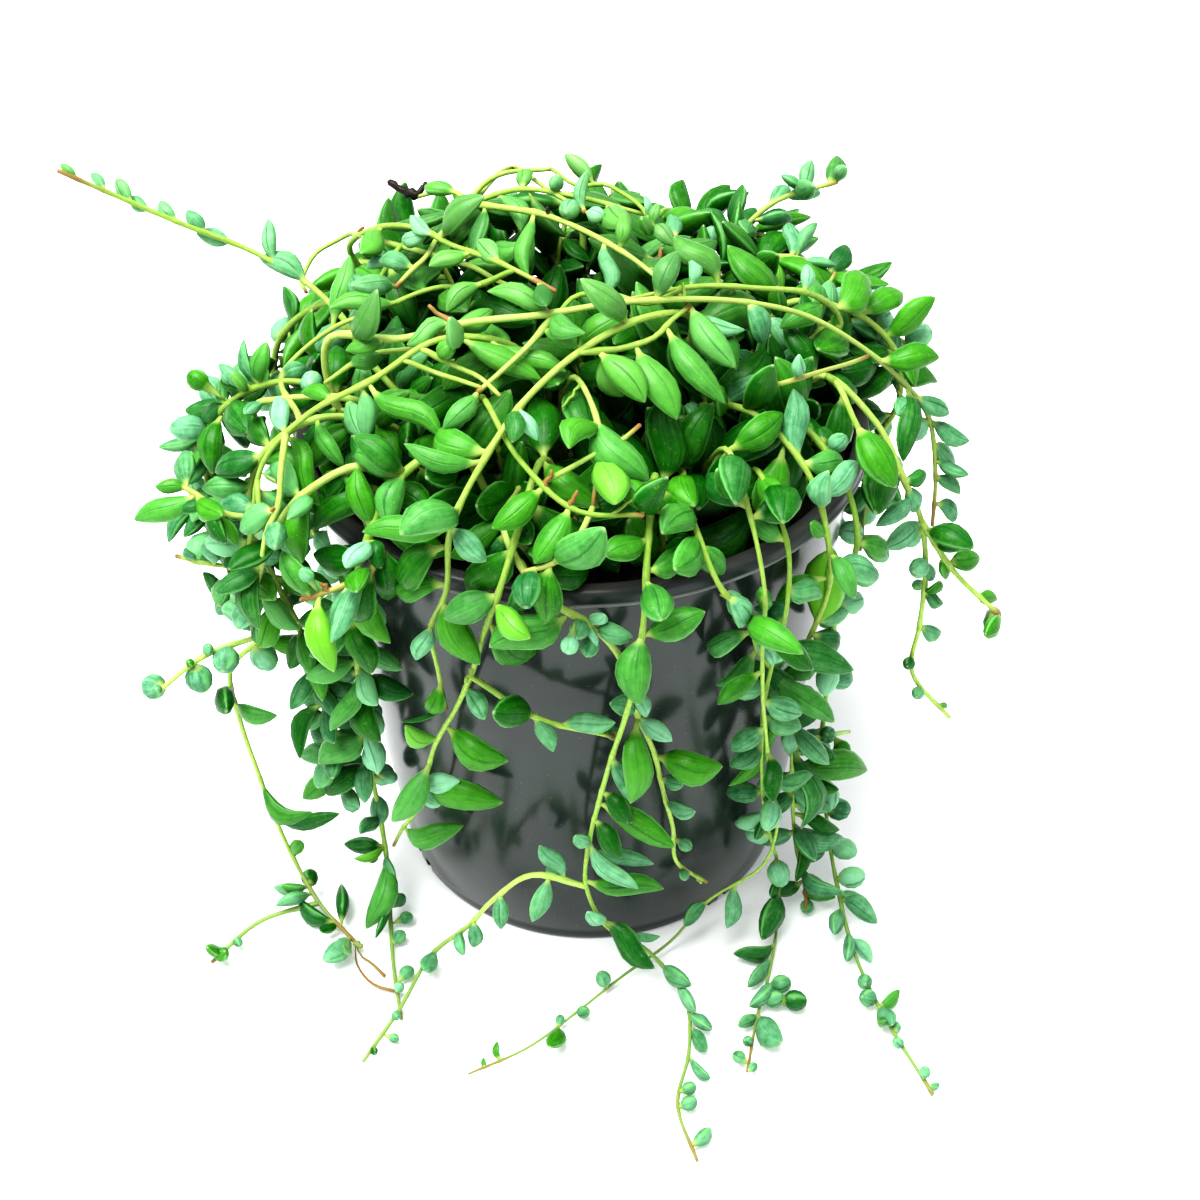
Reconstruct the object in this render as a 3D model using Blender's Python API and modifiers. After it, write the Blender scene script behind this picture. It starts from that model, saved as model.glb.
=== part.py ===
"""A potted string of watermelons: a black nursery pot, its soil, and trailing leafy stems.

The plant is laid out in millimetres about the pot's axis, with the pot's base at height zero.
Every stem is a route of points given as azimuth, radius and height. Azimuth -90 faces the
viewer. The routes are smoothed, bent clear of each other and of the pot, and then dressed
with leaves by one rule. Each leafy stem is fused into one solid.
"""
import math

import bmesh
import bpy
import numpy as np
from mathutils import Vector

MM = 0.001

# Pot, in millimetres
POT_HEIGHT = 135.0
RIM_RADIUS = 70.0
RIM_WIDTH = 3.8
SKIRT_HEIGHT = 4.0
WALL_TOP_RADIUS = 67.4
BASE_RADIUS = 54.0
BASE_EDGE = 1.2
WALL = 1.3
FLOOR_THICKNESS = 2.0
POT_STEPS = 32
NOTCH_AZIMUTHS = (-152.0, -52.0, 28.0, 128.0)
NOTCH_HALF_STEP = 3.2
NOTCH_WIDTH = 3.0
NOTCH_HEIGHT = 5.0

# Soil, in millimetres
SOIL_TOP = 127.0
SOIL_GAP = 0.35
SOIL_SIDES = 24
HOLE_RADIUS = 2.5
HOLE_DEPTH = 12.0
HOLE_SIDES = 4

# Stems, in millimetres
STEM_RADIUS = 1.25
TIP_RADIUS = 0.65
STEM_STEP = 16.0
ROOT_DEPTH = 11.0
ROOT_RISE = 4.0
ROOT_SPREAD = 55.0
ROOT_SHARE = 0.72
STEM_MARGIN = 0.7
RELAX_ROUNDS = 160
SAMPLES_PER_SPAN = 5

# Leaves, in millimetres and degrees. Margins are the room kept to other things. Bare stretches
# are those of a stem without leaves: from its foot, from its side stem's foot, and at its tip.
LEAF_MARGIN = 0.5
OWN_LEAF_MARGIN = -0.4
FLOOR_MARGIN = 0.3
REACH_SPARE = 8.0
MAIN_BARE = 27.0
SIDE_BARE = 5.0
TIP_BARE = 1.0
LEAF_SLIMNESS = 0.42
BEAD_ROUNDNESS = 0.86
BEAD_FROM = 12.0
BEAD_RATE = 0.09
LEAF_TURN = 137.5
LEAF_TURNS = 12
LEAF_TILTS = (58.0, 40.0, 78.0)
LEAF_GAP_SHARE = 1.32
LEAF_SIDES = 4
LEAF_RING_SHARE = 0.42
LARGE_LEAF = 14.5
BLUE_GREEN_BELOW = 10.0
LEAF_ROOT_DEPTH = 0.6
SLIVER = 0.02
LEAF_STATIONS = (0.2, 0.34, 0.48, 0.62, 0.76, 0.9)
SEED = 7

# Name, leaf length at the crown and at the tip, space between leaves, route.
MAIN_STEMS = (
    ("upper_left", 15, 8, 13, ((-150, 50, 160), (176, 62, 168), (173, 76, 175), (175, 88, 182),
                               (177, 100, 190), (180, 114, 201))),
    ("upper_right", 15, 11, 9, ((30, 38, 158), (45, 56, 161), (41, 61, 168), (38, 66, 171),
                                (35, 71, 174), (32, 76, 175))),
    ("right_tip", 14, 7, 11, ((-12, 52, 158), (10, 66, 152), (16, 72, 149), (13, 79, 144), (11, 85, 141))),
    ("arc_right", 17, 13, 24, ((-2, 60, 164), (-12, 52, 173), (-24, 42, 178), (-45, 33, 182),
                               (-70, 30, 182))),
    ("arc_over", 15, 9, 17, ((-149, 63, 171), (-142, 57, 175), (-130, 47, 179), (-112, 39, 182),
                             (-90, 35, 184), (-66, 35, 184), (-40, 40, 180), (-20, 52, 172),
                             (-12, 65, 161), (-8, 76, 149), (-6, 83, 139), (-7, 87, 122), (-7, 88, 106))),
    ("arc_left", 16, 11, 18, ((-110, 34, 172), (-126, 44, 181), (-131, 53, 177), (-136, 63, 172),
                              (-141, 71, 167), (-146, 80, 159), (-145, 88, 142), (-150, 90, 124))),
    ("arc_front", 19, 13, 21, ((-50, 36, 178), (-72, 39, 182), (-90, 46, 180), (-101, 55, 174),
                               (-106, 64, 167), (-111, 73, 157), (-111, 77, 147), (-113, 76, 134),
                               (-118, 74, 119), (-118, 70, 102), (-119, 68, 92))),
    ("arc_low", 17, 15, 24, ((-116, 48, 170), (-107, 59, 170), (-102, 64, 166), (-95, 67, 162),
                             (-90, 71, 157), (-84, 73, 153), (-80, 73, 157))),
    ("arc_middle", 18, 15, 26, ((-92, 42, 172), (-87, 52, 173), (-86, 60, 167), (-88, 69, 157))),
    ("top_hub", 18, 14, 15, ((150, 38, 172), (141, 32, 182), (115, 17, 186), (80, 10, 187), (20, 16, 185))),
    ("top_left", 16, 14, 19, ((155, 58, 160), (161, 58, 172), (166, 47, 180), (180, 35, 185),
                              (-141, 29, 188), (-118, 29, 189), (-98, 33, 187))),
    ("left_bend", 14, 12, 13, ((-150, 62, 162), (-166, 80, 150), (180, 89, 138), (-177, 98, 121),
                               (-169, 93, 115), (-161, 88, 121))),
    ("left_trail", 17, 8, 17, ((-136, 74, 156), (-142, 87, 138), (-152, 88, 108), (-160, 87, 87),
                               (-161, 96, 79), (-159, 95, 62), (-158, 93, 40), (-158, 90, 18),
                               (-153, 88, 8), (-146, 86, 4), (-139, 85, 3))),
    ("left_hang", 17, 12, 12, ((-160, 66, 160), (-168, 84, 150), (-172, 92, 132), (-169, 92, 110),
                               (-166, 90, 96))),
    ("left_dense", 18, 13, 10, ((-146, 66, 160), (-152, 84, 146), (-152, 84, 124), (-149, 79, 98),
                                (-151, 76, 68), (-154, 74, 40))),
    ("left_front", 18, 8, 12, ((-122, 60, 162), (-127, 77, 143), (-133, 76, 123), (-138, 73, 97),
                               (-143, 70, 72), (-149, 67, 42), (-147, 67, 18), (-142, 71, 5),
                               (-132, 80, 3), (-122, 94, 3))),
    ("front_left", 19, 11, 15, ((-98, 56, 160), (-102, 76, 145), (-105, 76, 133), (-109, 73, 118),
                                (-113, 70, 103), (-120, 69, 86), (-125, 68, 71), (-129, 67, 54),
                                (-138, 66, 36), (-146, 65, 20))),
    ("front_bead", 16, 6, 12, ((-106, 62, 152), (-99, 74, 141), (-92, 73, 133), (-86, 71, 122),
                               (-82, 69, 110), (-81, 68, 100), (-77, 67, 84), (-74, 65, 66),
                               (-70, 63, 45), (-66, 61, 26), (-61, 62, 23))),
    ("front_trail", 20, 8, 15, ((-74, 58, 158), (-80, 76, 145), (-81, 79, 130), (-83, 75, 105),
                                (-86, 71, 84), (-89, 69, 64), (-91, 67, 45), (-90, 68, 28),
                                (-83, 68, 17), (-76, 69, 8), (-73, 76, 4), (-74, 88, 3), (-77, 101, 3),
                                (-80, 114, 3), (-79, 126, 3))),
    ("right_floor", 18, 7, 15, ((-58, 58, 158), (-61, 78, 140), (-60, 78, 116), (-55, 74, 80),
                                (-48, 70, 44), (-46, 68, 26), (-52, 66, 22), (-60, 64, 19),
                                (-67, 63, 9), (-75, 64, 4), (-86, 71, 3), (-94, 81, 3), (-100, 91, 3),
                                (-108, 103, 3))),
    ("right_front", 20, 12, 12, ((-68, 60, 152), (-70, 77, 142), (-63, 77, 129), (-58, 74, 112),
                                 (-52, 72, 97), (-46, 70, 80), (-41, 68, 58), (-37, 67, 34),
                                 (-36, 70, 12), (-37, 74, 4))),
    ("right_inner", 16, 8, 15, ((-52, 62, 152), (-55, 78, 138), (-56, 74, 106), (-53, 70, 72),
                                (-48, 67, 44), (-43, 67, 22), (-43, 70, 8), (-50, 75, 3), (-57, 84, 3),
                                (-64, 94, 3), (-69, 106, 3))),
    ("right_trail", 17, 7, 14, ((-36, 60, 154), (-38, 77, 140), (-37, 74, 110), (-31, 71, 66),
                                (-27, 71, 32), (-32, 77, 13), (-37, 85, 6), (-43, 95, 3),
                                (-47, 107, 3), (-50, 121, 3), (-52, 135, 3))),
    ("right_rim", 19, 14, 12, ((-46, 54, 160), (-45, 70, 150), (-46, 77, 138), (-44, 77, 124),
                               (-43, 75, 114), (-46, 73, 102))),
    ("right_hang", 17, 7, 13, ((-20, 54, 158), (-24, 74, 149), (-24, 82, 134), (-19, 86, 117),
                               (-19, 88, 100), (-19, 88, 80), (-20, 90, 66), (-21, 99, 63))),
)

# Name, the stem that it leaves, leaf length at its foot and at its tip, space between leaves, route.
SIDE_STEMS = (
    ("hub_up", "top_hub", 15, 13, 12, ((141, 32, 182), (124, 30, 187), (104, 24, 188))),
    ("hub_down", "top_hub", 17, 14, 14, ((141, 32, 182), (165, 40, 178), (-173, 48, 172))),
    ("left_twig", "left_trail", 9, 7, 12, ((-160, 87, 87), (-159, 94, 92), (-157, 104, 91), (-155, 114, 89))),
    ("left_side", "left_trail", 9, 8, 13, ((-154, 89, 9), (-153, 96, 5), (-151, 107, 3), (-149, 119, 3))),
    ("front_twig", "front_left", 12, 9, 13, ((-113, 70, 103), (-104, 71, 101), (-94, 71, 97), (-85, 70, 92))),
    ("floor_left", "front_trail", 13, 7, 14, ((-91, 67, 45), (-98, 70, 46), (-107, 71, 38), (-117, 70, 18),
                                              (-125, 76, 5), (-124, 88, 3), (-122, 99, 3), (-122, 110, 3))),
    ("right_twig", "right_front", 13, 10, 12, ((-44, 69, 72), (-31, 71, 60), (-18, 73, 46))),
    ("right_spur", "right_hang", 13, 9, 9, ((-19, 86, 117), (-20, 94, 109), (-21, 100, 104),
                                            (-22, 107, 101))),
)

# Stems behind the pot follow a rule: azimuth, how far down they hang, and how far out they end.
BACK_AZIMUTHS = (6, 28, 48, 68, 88, 108, 128, 148, 168)
BACK_ENDS = (88, 40, 3, 66, 3, 84, 30, 3, 56)
BACK_SWAY = 7.0
BACK_WALL_GAP = 9.0
BACK_FLOOR_REACHES = (24.0, 34.0, 44.0, 54.0)
FLOOR_HEIGHT = 3.0
BACK_LEAVES = (18, 9, 15)

# Short upright stems fill the crown and lean outward. The crown is a dome over the pot.
TUFT_COUNT = 16
TUFT_LEAN = 16.0
TUFT_LEAVES = (20, 16, 9.0)
CROWN_HEIGHT = 56.0
CROWN_RADIUS = 84.0

LEAF_COLOUR = (0.050, 0.300, 0.045, 1.0)
BLUE_LEAF_COLOUR = (0.060, 0.260, 0.110, 1.0)
POT_COLOUR = (0.028, 0.030, 0.032, 1.0)
SOIL_COLOUR = (0.030, 0.018, 0.011, 1.0)


def polar(azimuth, radius, height):
    """Return the point at an azimuth in degrees, a radius and a height."""
    angle = math.radians(azimuth)
    return np.array((radius * math.cos(angle), radius * math.sin(angle), height))


def wall_radius(height):
    """Return the pot's outer radius at a height."""
    share = min(max(height / (POT_HEIGHT - SKIRT_HEIGHT), 0.0), 1.0)
    return BASE_RADIUS + (WALL_TOP_RADIUS - BASE_RADIUS) * share


def back_stems():
    """Return the stems behind the pot: over the rim, down the wall and, if long, out on the floor."""
    rng = np.random.default_rng(SEED)
    stems = []
    for number, (azimuth, end) in enumerate(zip(BACK_AZIMUTHS, BACK_ENDS)):
        sway = rng.uniform(-BACK_SWAY, BACK_SWAY, 5)
        route = [
            (azimuth, 52, 162),
            (azimuth, 76, 148),
            (azimuth + 0.4 * sway[0], 80, 130),
        ]
        for place, height in enumerate(np.linspace(116, max(end, 26), 4)):
            offset = BACK_WALL_GAP + 3.0 * math.sin(number + place)
            route.append((azimuth + sway[place], wall_radius(height) + offset, height))
        if end <= FLOOR_HEIGHT:
            for place, reach in enumerate(BACK_FLOOR_REACHES):
                lift = 3.0 * FLOOR_HEIGHT if place == 0 else FLOOR_HEIGHT
                turn = sway[3] + 3.0 * place * math.copysign(1.0, sway[4])
                route.append((azimuth + turn, BASE_RADIUS + reach, lift))
        stems.append(("back_%d" % (number + 1), *BACK_LEAVES, tuple(route)))
    return stems


def crown_top(radius):
    """Return the height of the crown's dome at a radius."""
    return SOIL_TOP + CROWN_HEIGHT * math.sqrt(max(1.0 - (radius / CROWN_RADIUS) ** 2, 0.0))


def tuft_stems(places):
    """Return the short stems that rise from places in the soil to the crown's dome."""
    rng = np.random.default_rng(SEED + 1)
    stems = []
    for number, (x, y) in enumerate(places):
        azimuth = math.degrees(math.atan2(y, x))
        radius = math.hypot(x, y)
        turn = rng.uniform(-25.0, 25.0, 2) * min(1.0, 20.0 / radius)
        top = crown_top(radius + TUFT_LEAN) + rng.uniform(-10.0, 0.0)
        route = (
            (azimuth + 0.3 * turn[0], radius + 0.2 * TUFT_LEAN, SOIL_TOP + 18.0),
            (azimuth + turn[0], radius + 0.6 * TUFT_LEAN, 0.5 * (SOIL_TOP + 16.0 + top)),
            (azimuth + turn[1], radius + TUFT_LEAN, top),
        )
        stems.append(("tuft_%d" % (number + 1), *TUFT_LEAVES, route))
    return stems


def smooth(points, step):
    """Return points about one step apart on the curve that passes smoothly through a route."""
    points = np.asarray(points, float)
    knots = np.concatenate(([0.0], np.cumsum(np.linalg.norm(np.diff(points, axis=0), axis=1))))
    slopes = np.gradient(points, knots, axis=0)
    fine = np.linspace(0.0, knots[-1], 40 * len(points))
    span = np.clip(np.searchsorted(knots, fine, side="right") - 1, 0, len(points) - 2)
    width = (knots[span + 1] - knots[span])[:, None]
    t = (fine - knots[span])[:, None] / width
    curve = (
        (2 * t ** 3 - 3 * t ** 2 + 1) * points[span]
        + (t ** 3 - 2 * t ** 2 + t) * width * slopes[span]
        + (3 * t ** 2 - 2 * t ** 3) * points[span + 1]
        + (t ** 3 - t ** 2) * width * slopes[span + 1]
    )
    along = np.concatenate(([0.0], np.cumsum(np.linalg.norm(np.diff(curve, axis=0), axis=1))))
    count = max(2, int(round(along[-1] / step)) + 1)
    places = np.linspace(0.0, along[-1], count)
    return np.stack([np.interp(places, along, curve[:, axis]) for axis in range(3)], axis=1)


def root_places(count):
    """Return places in the soil on a sunflower spiral, so that no two roots meet."""
    order = np.arange(count)
    radius = ROOT_SPREAD * np.sqrt((order + 0.5) / count)
    angle = np.radians(LEAF_TURN) * order
    return np.stack((radius * np.cos(angle), radius * np.sin(angle)), axis=1)


class Stem:
    """One stem: its name, the stem that carries it, its points in the shared list and its leaves."""

    def __init__(self, name, group, indices, leaf_start, leaf_end, gap, is_side):
        self.name = name
        self.group = group
        self.indices = indices
        self.leaf_start = leaf_start
        self.leaf_end = leaf_end
        self.gap = gap
        self.is_side = is_side
        self.leaves = []

    def radii(self):
        """Return the stem's radius at each of its points, thinner towards the tip."""
        share = np.linspace(0.0, 1.0, len(self.indices))
        start = 0.8 * STEM_RADIUS if self.is_side else STEM_RADIUS
        return start + (TIP_RADIUS - start) * share


def lay_out():
    """Return the shared points, which of them are held fast, and the stems."""
    trailing = list(MAIN_STEMS) + back_stems()
    free_places = root_places(len(trailing) + TUFT_COUNT)
    feet = []
    for stem in trailing:
        wanted = ROOT_SHARE * polar(*stem[-1][0])[:2]
        nearest = int(np.argmin(np.linalg.norm(free_places - wanted, axis=1)))
        feet.append(free_places[nearest])
        free_places = np.delete(free_places, nearest, axis=0)
    mains = trailing + tuft_stems(free_places)
    feet.extend(free_places)
    points = []
    held = []
    stems = []
    for group, (name, leaf_start, leaf_end, gap, route) in enumerate(mains):
        route = [polar(*place) for place in route]
        x, y = feet[group]
        foot = np.array((x, y, SOIL_TOP - ROOT_DEPTH))
        collar = np.array((x, y, SOIL_TOP + ROOT_RISE))
        above = smooth([collar] + route, STEM_STEP)
        first = len(points)
        points.extend([foot] + list(above))
        held.extend([True, True] + [False] * (len(above) - 1))
        indices = list(range(first, len(points)))
        stems.append(Stem(name, group, indices, leaf_start, leaf_end, gap, False))
    by_name = {stem.name: stem for stem in stems}
    for name, carrier, leaf_start, leaf_end, gap, route in SIDE_STEMS:
        parent = by_name[carrier]
        route = [polar(*place) for place in route]
        distances = [np.linalg.norm(points[index] - route[0]) for index in parent.indices]
        joint = parent.indices[int(np.argmin(distances))]
        route[0] = points[joint]
        path = smooth(route, STEM_STEP)
        first = len(points)
        points.extend(list(path[1:]))
        held.extend([False] * (len(path) - 1))
        indices = [joint] + list(range(first, len(points)))
        stems.append(Stem(name, parent.group, indices, leaf_start, leaf_end, gap, True))
    return np.array(points), np.array(held), stems


POT_OUTLINE = np.array((
    (0.0, SOIL_TOP),
    (RIM_RADIUS - RIM_WIDTH, SOIL_TOP),
    (RIM_RADIUS - RIM_WIDTH, POT_HEIGHT),
    (RIM_RADIUS, POT_HEIGHT),
    (RIM_RADIUS, POT_HEIGHT - SKIRT_HEIGHT),
    (WALL_TOP_RADIUS, POT_HEIGHT - SKIRT_HEIGHT),
    (BASE_RADIUS, 0.0),
    (0.0, 0.0),
))


def pot_distance(places):
    """Return how far places are from the filled pot, less than zero inside, and the way out."""
    flat = np.stack((np.hypot(places[..., 0], places[..., 1]), places[..., 2]), axis=-1)
    start = POT_OUTLINE[:-1]
    run = POT_OUTLINE[1:] - start
    offset = flat[..., None, :] - start
    share = np.clip((offset * run).sum(-1) / (run * run).sum(-1), 0.0, 1.0)
    away = offset - share[..., None] * run
    distance = np.linalg.norm(away, axis=-1)
    nearest = distance.argmin(-1)[..., None]
    closest = np.take_along_axis(distance, nearest, -1)[..., 0]
    way = np.take_along_axis(away, nearest[..., None], -2)[..., 0, :]
    edge_start = start[:, 1]
    edge_end = edge_start + run[:, 1]
    height = flat[..., 1, None]
    spans = (edge_start > height) != (edge_end > height)
    slope = np.where(run[:, 1] == 0.0, 1.0, run[:, 1])
    crossing = start[:, 0] + run[:, 0] * (height - edge_start) / slope
    inside = (spans & (crossing > flat[..., 0, None])).sum(-1) % 2 == 1
    sign = np.where(inside, -1.0, 1.0)
    way = way * (sign / np.maximum(closest, 1e-6))[..., None]
    radial = places[..., :2] / np.maximum(flat[..., :1], 1e-6)
    outward = np.concatenate((radial * way[..., :1], way[..., 1:]), axis=-1)
    return closest * sign, outward


def stem_samples(points, stems):
    """Return sample places along all the stems, with their ends, shares, radii and groups."""
    starts, ends, shares, radii, groups, rooted = [], [], [], [], [], []
    fractions = (np.arange(SAMPLES_PER_SPAN) + 0.5) / SAMPLES_PER_SPAN
    for stem in stems:
        widths = stem.radii()
        for place in range(len(stem.indices) - 1):
            starts.extend([stem.indices[place]] * SAMPLES_PER_SPAN)
            ends.extend([stem.indices[place + 1]] * SAMPLES_PER_SPAN)
            shares.extend(fractions)
            radii.extend(widths[place] + (widths[place + 1] - widths[place]) * fractions)
            groups.extend([stem.group] * SAMPLES_PER_SPAN)
            rooted.extend([place == 0 and not stem.is_side] * SAMPLES_PER_SPAN)
    return (np.array(starts), np.array(ends), np.array(shares), np.array(radii),
            np.array(groups), np.array(rooted))


def bend_clear(points, held, stems):
    """Push the stems apart, off the pot and off the floor, until none touches another."""
    starts, ends, shares, radii, groups, rooted = stem_samples(points, stems)
    spacing = STEM_STEP / SAMPLES_PER_SPAN
    other = groups[:, None] != groups[None, :]
    need = radii[:, None] + radii[None, :] + STEM_MARGIN
    need = np.where(other, np.sqrt(need ** 2 + 0.5 * spacing ** 2), 0.0)
    for _ in range(RELAX_ROUNDS):
        places = points[starts] * (1 - shares)[:, None] + points[ends] * shares[:, None]
        squares = (places ** 2).sum(1)
        gaps = np.sqrt(np.maximum(squares[:, None] + squares[None, :] - 2 * places @ places.T, 0.0))
        first, second = np.nonzero(gaps < need)
        away = places[first] - places[second]
        away += 1e-3 * np.sin(np.stack((first, second, first + second), axis=1))
        length = np.maximum(np.linalg.norm(away, axis=1), 1e-6)
        push = away * ((need[first, second] - length) / length)[:, None] * 0.5
        shift = np.zeros_like(places)
        np.add.at(shift, first, push)
        distance, outward = pot_distance(places)
        short = np.where(rooted, 0.0, np.maximum(radii + STEM_MARGIN - distance, 0.0))
        shift += outward * short[:, None]
        shift[:, 2] += np.where(rooted, 0.0, np.maximum(radii + FLOOR_MARGIN - places[:, 2], 0.0))
        move = np.zeros_like(points)
        weight = np.zeros(len(points))
        np.add.at(move, starts, shift * (1 - shares)[:, None])
        np.add.at(move, ends, shift * shares[:, None])
        moved = np.linalg.norm(shift, axis=1) > 0
        np.add.at(weight, starts, (1 - shares) * moved)
        np.add.at(weight, ends, shares * moved)
        move /= np.maximum(weight, 0.6)[:, None]
        move[held] = 0.0
        points = points + move
        if len(first) == 0 and short.max() < 0.05:
            break
    return points


def leaf_profile(share):
    """Return a leaf's half width at a share of its length, as a part of its greatest."""
    return np.sin(np.pi * np.clip(share, 0.0, 1.0) ** 0.88) ** 0.8


class Leaf:
    """One leaf: where it leaves its stem, which way it points, its length and its half width."""

    def __init__(self, base, way, length, half_width):
        self.base = base
        self.way = way
        self.length = length
        self.half_width = half_width


class Taken:
    """The room that is taken: a list of balls along the stems and leaves, with their owners."""

    def __init__(self, centres, sizes, owners):
        self.centres = centres
        self.sizes = sizes
        self.owners = owners
        self.on_stem = np.ones(len(owners), bool)

    def add(self, centres, sizes, owner):
        """Take the room of one leaf."""
        self.centres = np.concatenate((self.centres, centres))
        self.sizes = np.concatenate((self.sizes, sizes))
        self.owners = np.concatenate((self.owners, np.full(len(sizes), owner)))
        self.on_stem = np.concatenate((self.on_stem, np.zeros(len(sizes), bool)))

    def clash(self, base, centres, sizes, reach, owner):
        """Say which of several ways of placing a leaf would meet something."""
        near = np.linalg.norm(self.centres - base, axis=1) < reach + REACH_SPARE
        near &= ~((self.owners == owner) & self.on_stem)
        own = self.owners[near] == owner
        need = sizes[None, :, None] + self.sizes[near] + np.where(own, OWN_LEAF_MARGIN, LEAF_MARGIN)
        gaps = np.linalg.norm(centres[:, :, None, :] - self.centres[near][None, None], axis=-1)
        meets = (gaps < need).any(axis=(1, 2))
        distance, _ = pot_distance(centres)
        meets |= (distance < sizes + LEAF_MARGIN).any(axis=1)
        meets |= (centres[..., 2] < sizes + FLOOR_MARGIN).any(axis=1)
        return meets


def leaf_half_width(length):
    """Return half a leaf's width: long leaves are slim and the shortest are round beads."""
    share = LEAF_SLIMNESS + (BEAD_FROM - length) * BEAD_RATE
    return 0.5 * length * min(max(share, LEAF_SLIMNESS), BEAD_ROUNDNESS)


def leaf_ways(forward, turn, lean):
    """Return the ways in which a leaf may point, the wanted one first.

    Each way leans from the stem's own direction by a tilt, turned about the stem.
    """
    upright = (0.0, 0.0, 1.0) if abs(forward[2]) < 0.9 else (1.0, 0.0, 0.0)
    side = np.cross(forward, upright)
    side /= np.linalg.norm(side)
    over = np.cross(side, forward)
    steps = sorted(range(LEAF_TURNS), key=lambda step: min(step, LEAF_TURNS - step))
    angles = np.radians(turn + 360.0 * np.array(steps) / LEAF_TURNS)
    around = np.cos(angles)[:, None] * side + np.sin(angles)[:, None] * over
    tilts = np.radians(np.array(LEAF_TILTS) + lean)[:, None, None]
    return (np.cos(tilts) * forward + np.sin(tilts) * around[None]).reshape(-1, 3)


def grow_leaves(points, stems):
    """Dress each stem with leaves, each turned about the stem until it is clear, or left out."""
    starts, ends, shares, radii, groups, _ = stem_samples(points, stems)
    centres = points[starts] * (1 - shares)[:, None] + points[ends] * shares[:, None]
    taken = Taken(centres, radii, groups)
    stations = np.array(LEAF_STATIONS)
    for number, stem in enumerate(stems):
        rng = np.random.default_rng(SEED + 100 + number)
        path = points[stem.indices]
        along = np.concatenate(([0.0], np.cumsum(np.linalg.norm(np.diff(path, axis=0), axis=1))))
        begin = SIDE_BARE if stem.is_side else MAIN_BARE
        turn = rng.uniform(0.0, 360.0)
        for place in np.arange(begin, along[-1] - TIP_BARE, LEAF_GAP_SHARE * stem.gap):
            share = place / along[-1]
            length = stem.leaf_start + (stem.leaf_end - stem.leaf_start) * share ** 1.2
            length *= rng.uniform(0.86, 1.16)
            half_width = leaf_half_width(length)
            base = np.array([np.interp(place, along, path[:, axis]) for axis in range(3)])
            span = min(int(np.searchsorted(along, place)), len(path) - 1)
            forward = path[span] - path[span - 1]
            forward /= np.linalg.norm(forward)
            turn += LEAF_TURN + rng.uniform(-18.0, 18.0)
            ways = leaf_ways(forward, turn, rng.uniform(-8.0, 8.0))
            balls = base + ways[:, None, :] * (stations * length)[None, :, None]
            sizes = np.maximum(half_width * leaf_profile(stations), 0.5)
            meets = taken.clash(base, balls, sizes, length, stem.group)
            if meets.all():
                continue
            chosen = int(np.argmin(meets))
            stem.leaves.append(Leaf(base, ways[chosen], length, half_width))
            taken.add(balls[chosen], sizes, stem.group)


def material(name, colour, roughness):
    """Return a new material with one colour and roughness."""
    made = bpy.data.materials.new(name)
    made.use_nodes = True
    shader = made.node_tree.nodes["Principled BSDF"]
    shader.inputs["Base Color"].default_value = colour
    shader.inputs["Roughness"].default_value = roughness
    shader.inputs["Metallic"].default_value = 0.0
    made.diffuse_color = colour
    return made


def new_collection(name):
    """Return a new collection in the scene."""
    made = bpy.data.collections.new(name)
    bpy.context.scene.collection.children.link(made)
    return made


def evaluated_mesh(item):
    """Return an object's mesh with its modifiers applied."""
    graph = bpy.context.evaluated_depsgraph_get()
    graph.update()
    return bpy.data.meshes.new_from_object(item.evaluated_get(graph))


def tube(name, path, radii, collection):
    """Return a mesh tube along a path, made from a curve whose caps are welded."""
    curve = bpy.data.curves.new(name, "CURVE")
    curve.dimensions = "3D"
    curve.bevel_depth = MM
    curve.bevel_resolution = 0
    curve.use_fill_caps = True
    spline = curve.splines.new("POLY")
    spline.points.add(len(path) - 1)
    for point, place, radius in zip(spline.points, path, radii):
        point.co = (*(place * MM), 1.0)
        point.radius = radius
    guide = bpy.data.objects.new(name + "_guide", curve)
    collection.objects.link(guide)
    mesh = evaluated_mesh(guide)
    shape = bmesh.new()
    shape.from_mesh(mesh)
    bmesh.ops.remove_doubles(shape, verts=shape.verts, dist=1e-6)
    bmesh.ops.recalc_face_normals(shape, faces=shape.faces)
    shape.to_mesh(mesh)
    shape.free()
    made = bpy.data.objects.new(name, mesh)
    made.matrix_world = guide.matrix_world.copy()
    collection.objects.link(made)
    bpy.data.objects.remove(guide)
    return made


def leaf_object(name, leaf, collection):
    """Return a leaf: a sphere primitive drawn out to a spindle along the leaf's way."""
    shape = bmesh.new()
    rings = 3 if leaf.length >= LARGE_LEAF else 2
    bmesh.ops.create_uvsphere(shape, u_segments=LEAF_SIDES, v_segments=rings, radius=1.0)
    turned = Vector((0.0, 0.0, 1.0)).rotation_difference(Vector(leaf.way))
    for vertex in shape.verts:
        is_pole = abs(vertex.co.z) > 0.9
        share = 0.5 + (0.5 if is_pole else LEAF_RING_SHARE) * vertex.co.z
        ring = Vector((vertex.co.x, vertex.co.y, 0.0))
        if ring.length > 0.01:
            ring = ring.normalized() * leaf.half_width * float(leaf_profile(share))
        height = share * (leaf.length + LEAF_ROOT_DEPTH) - LEAF_ROOT_DEPTH
        vertex.co = (turned @ (ring + Vector((0.0, 0.0, height))) + Vector(leaf.base)) * MM
    mesh = bpy.data.meshes.new(name)
    shape.to_mesh(mesh)
    shape.free()
    made = bpy.data.objects.new(name, mesh)
    collection.objects.link(made)
    return made


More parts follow.
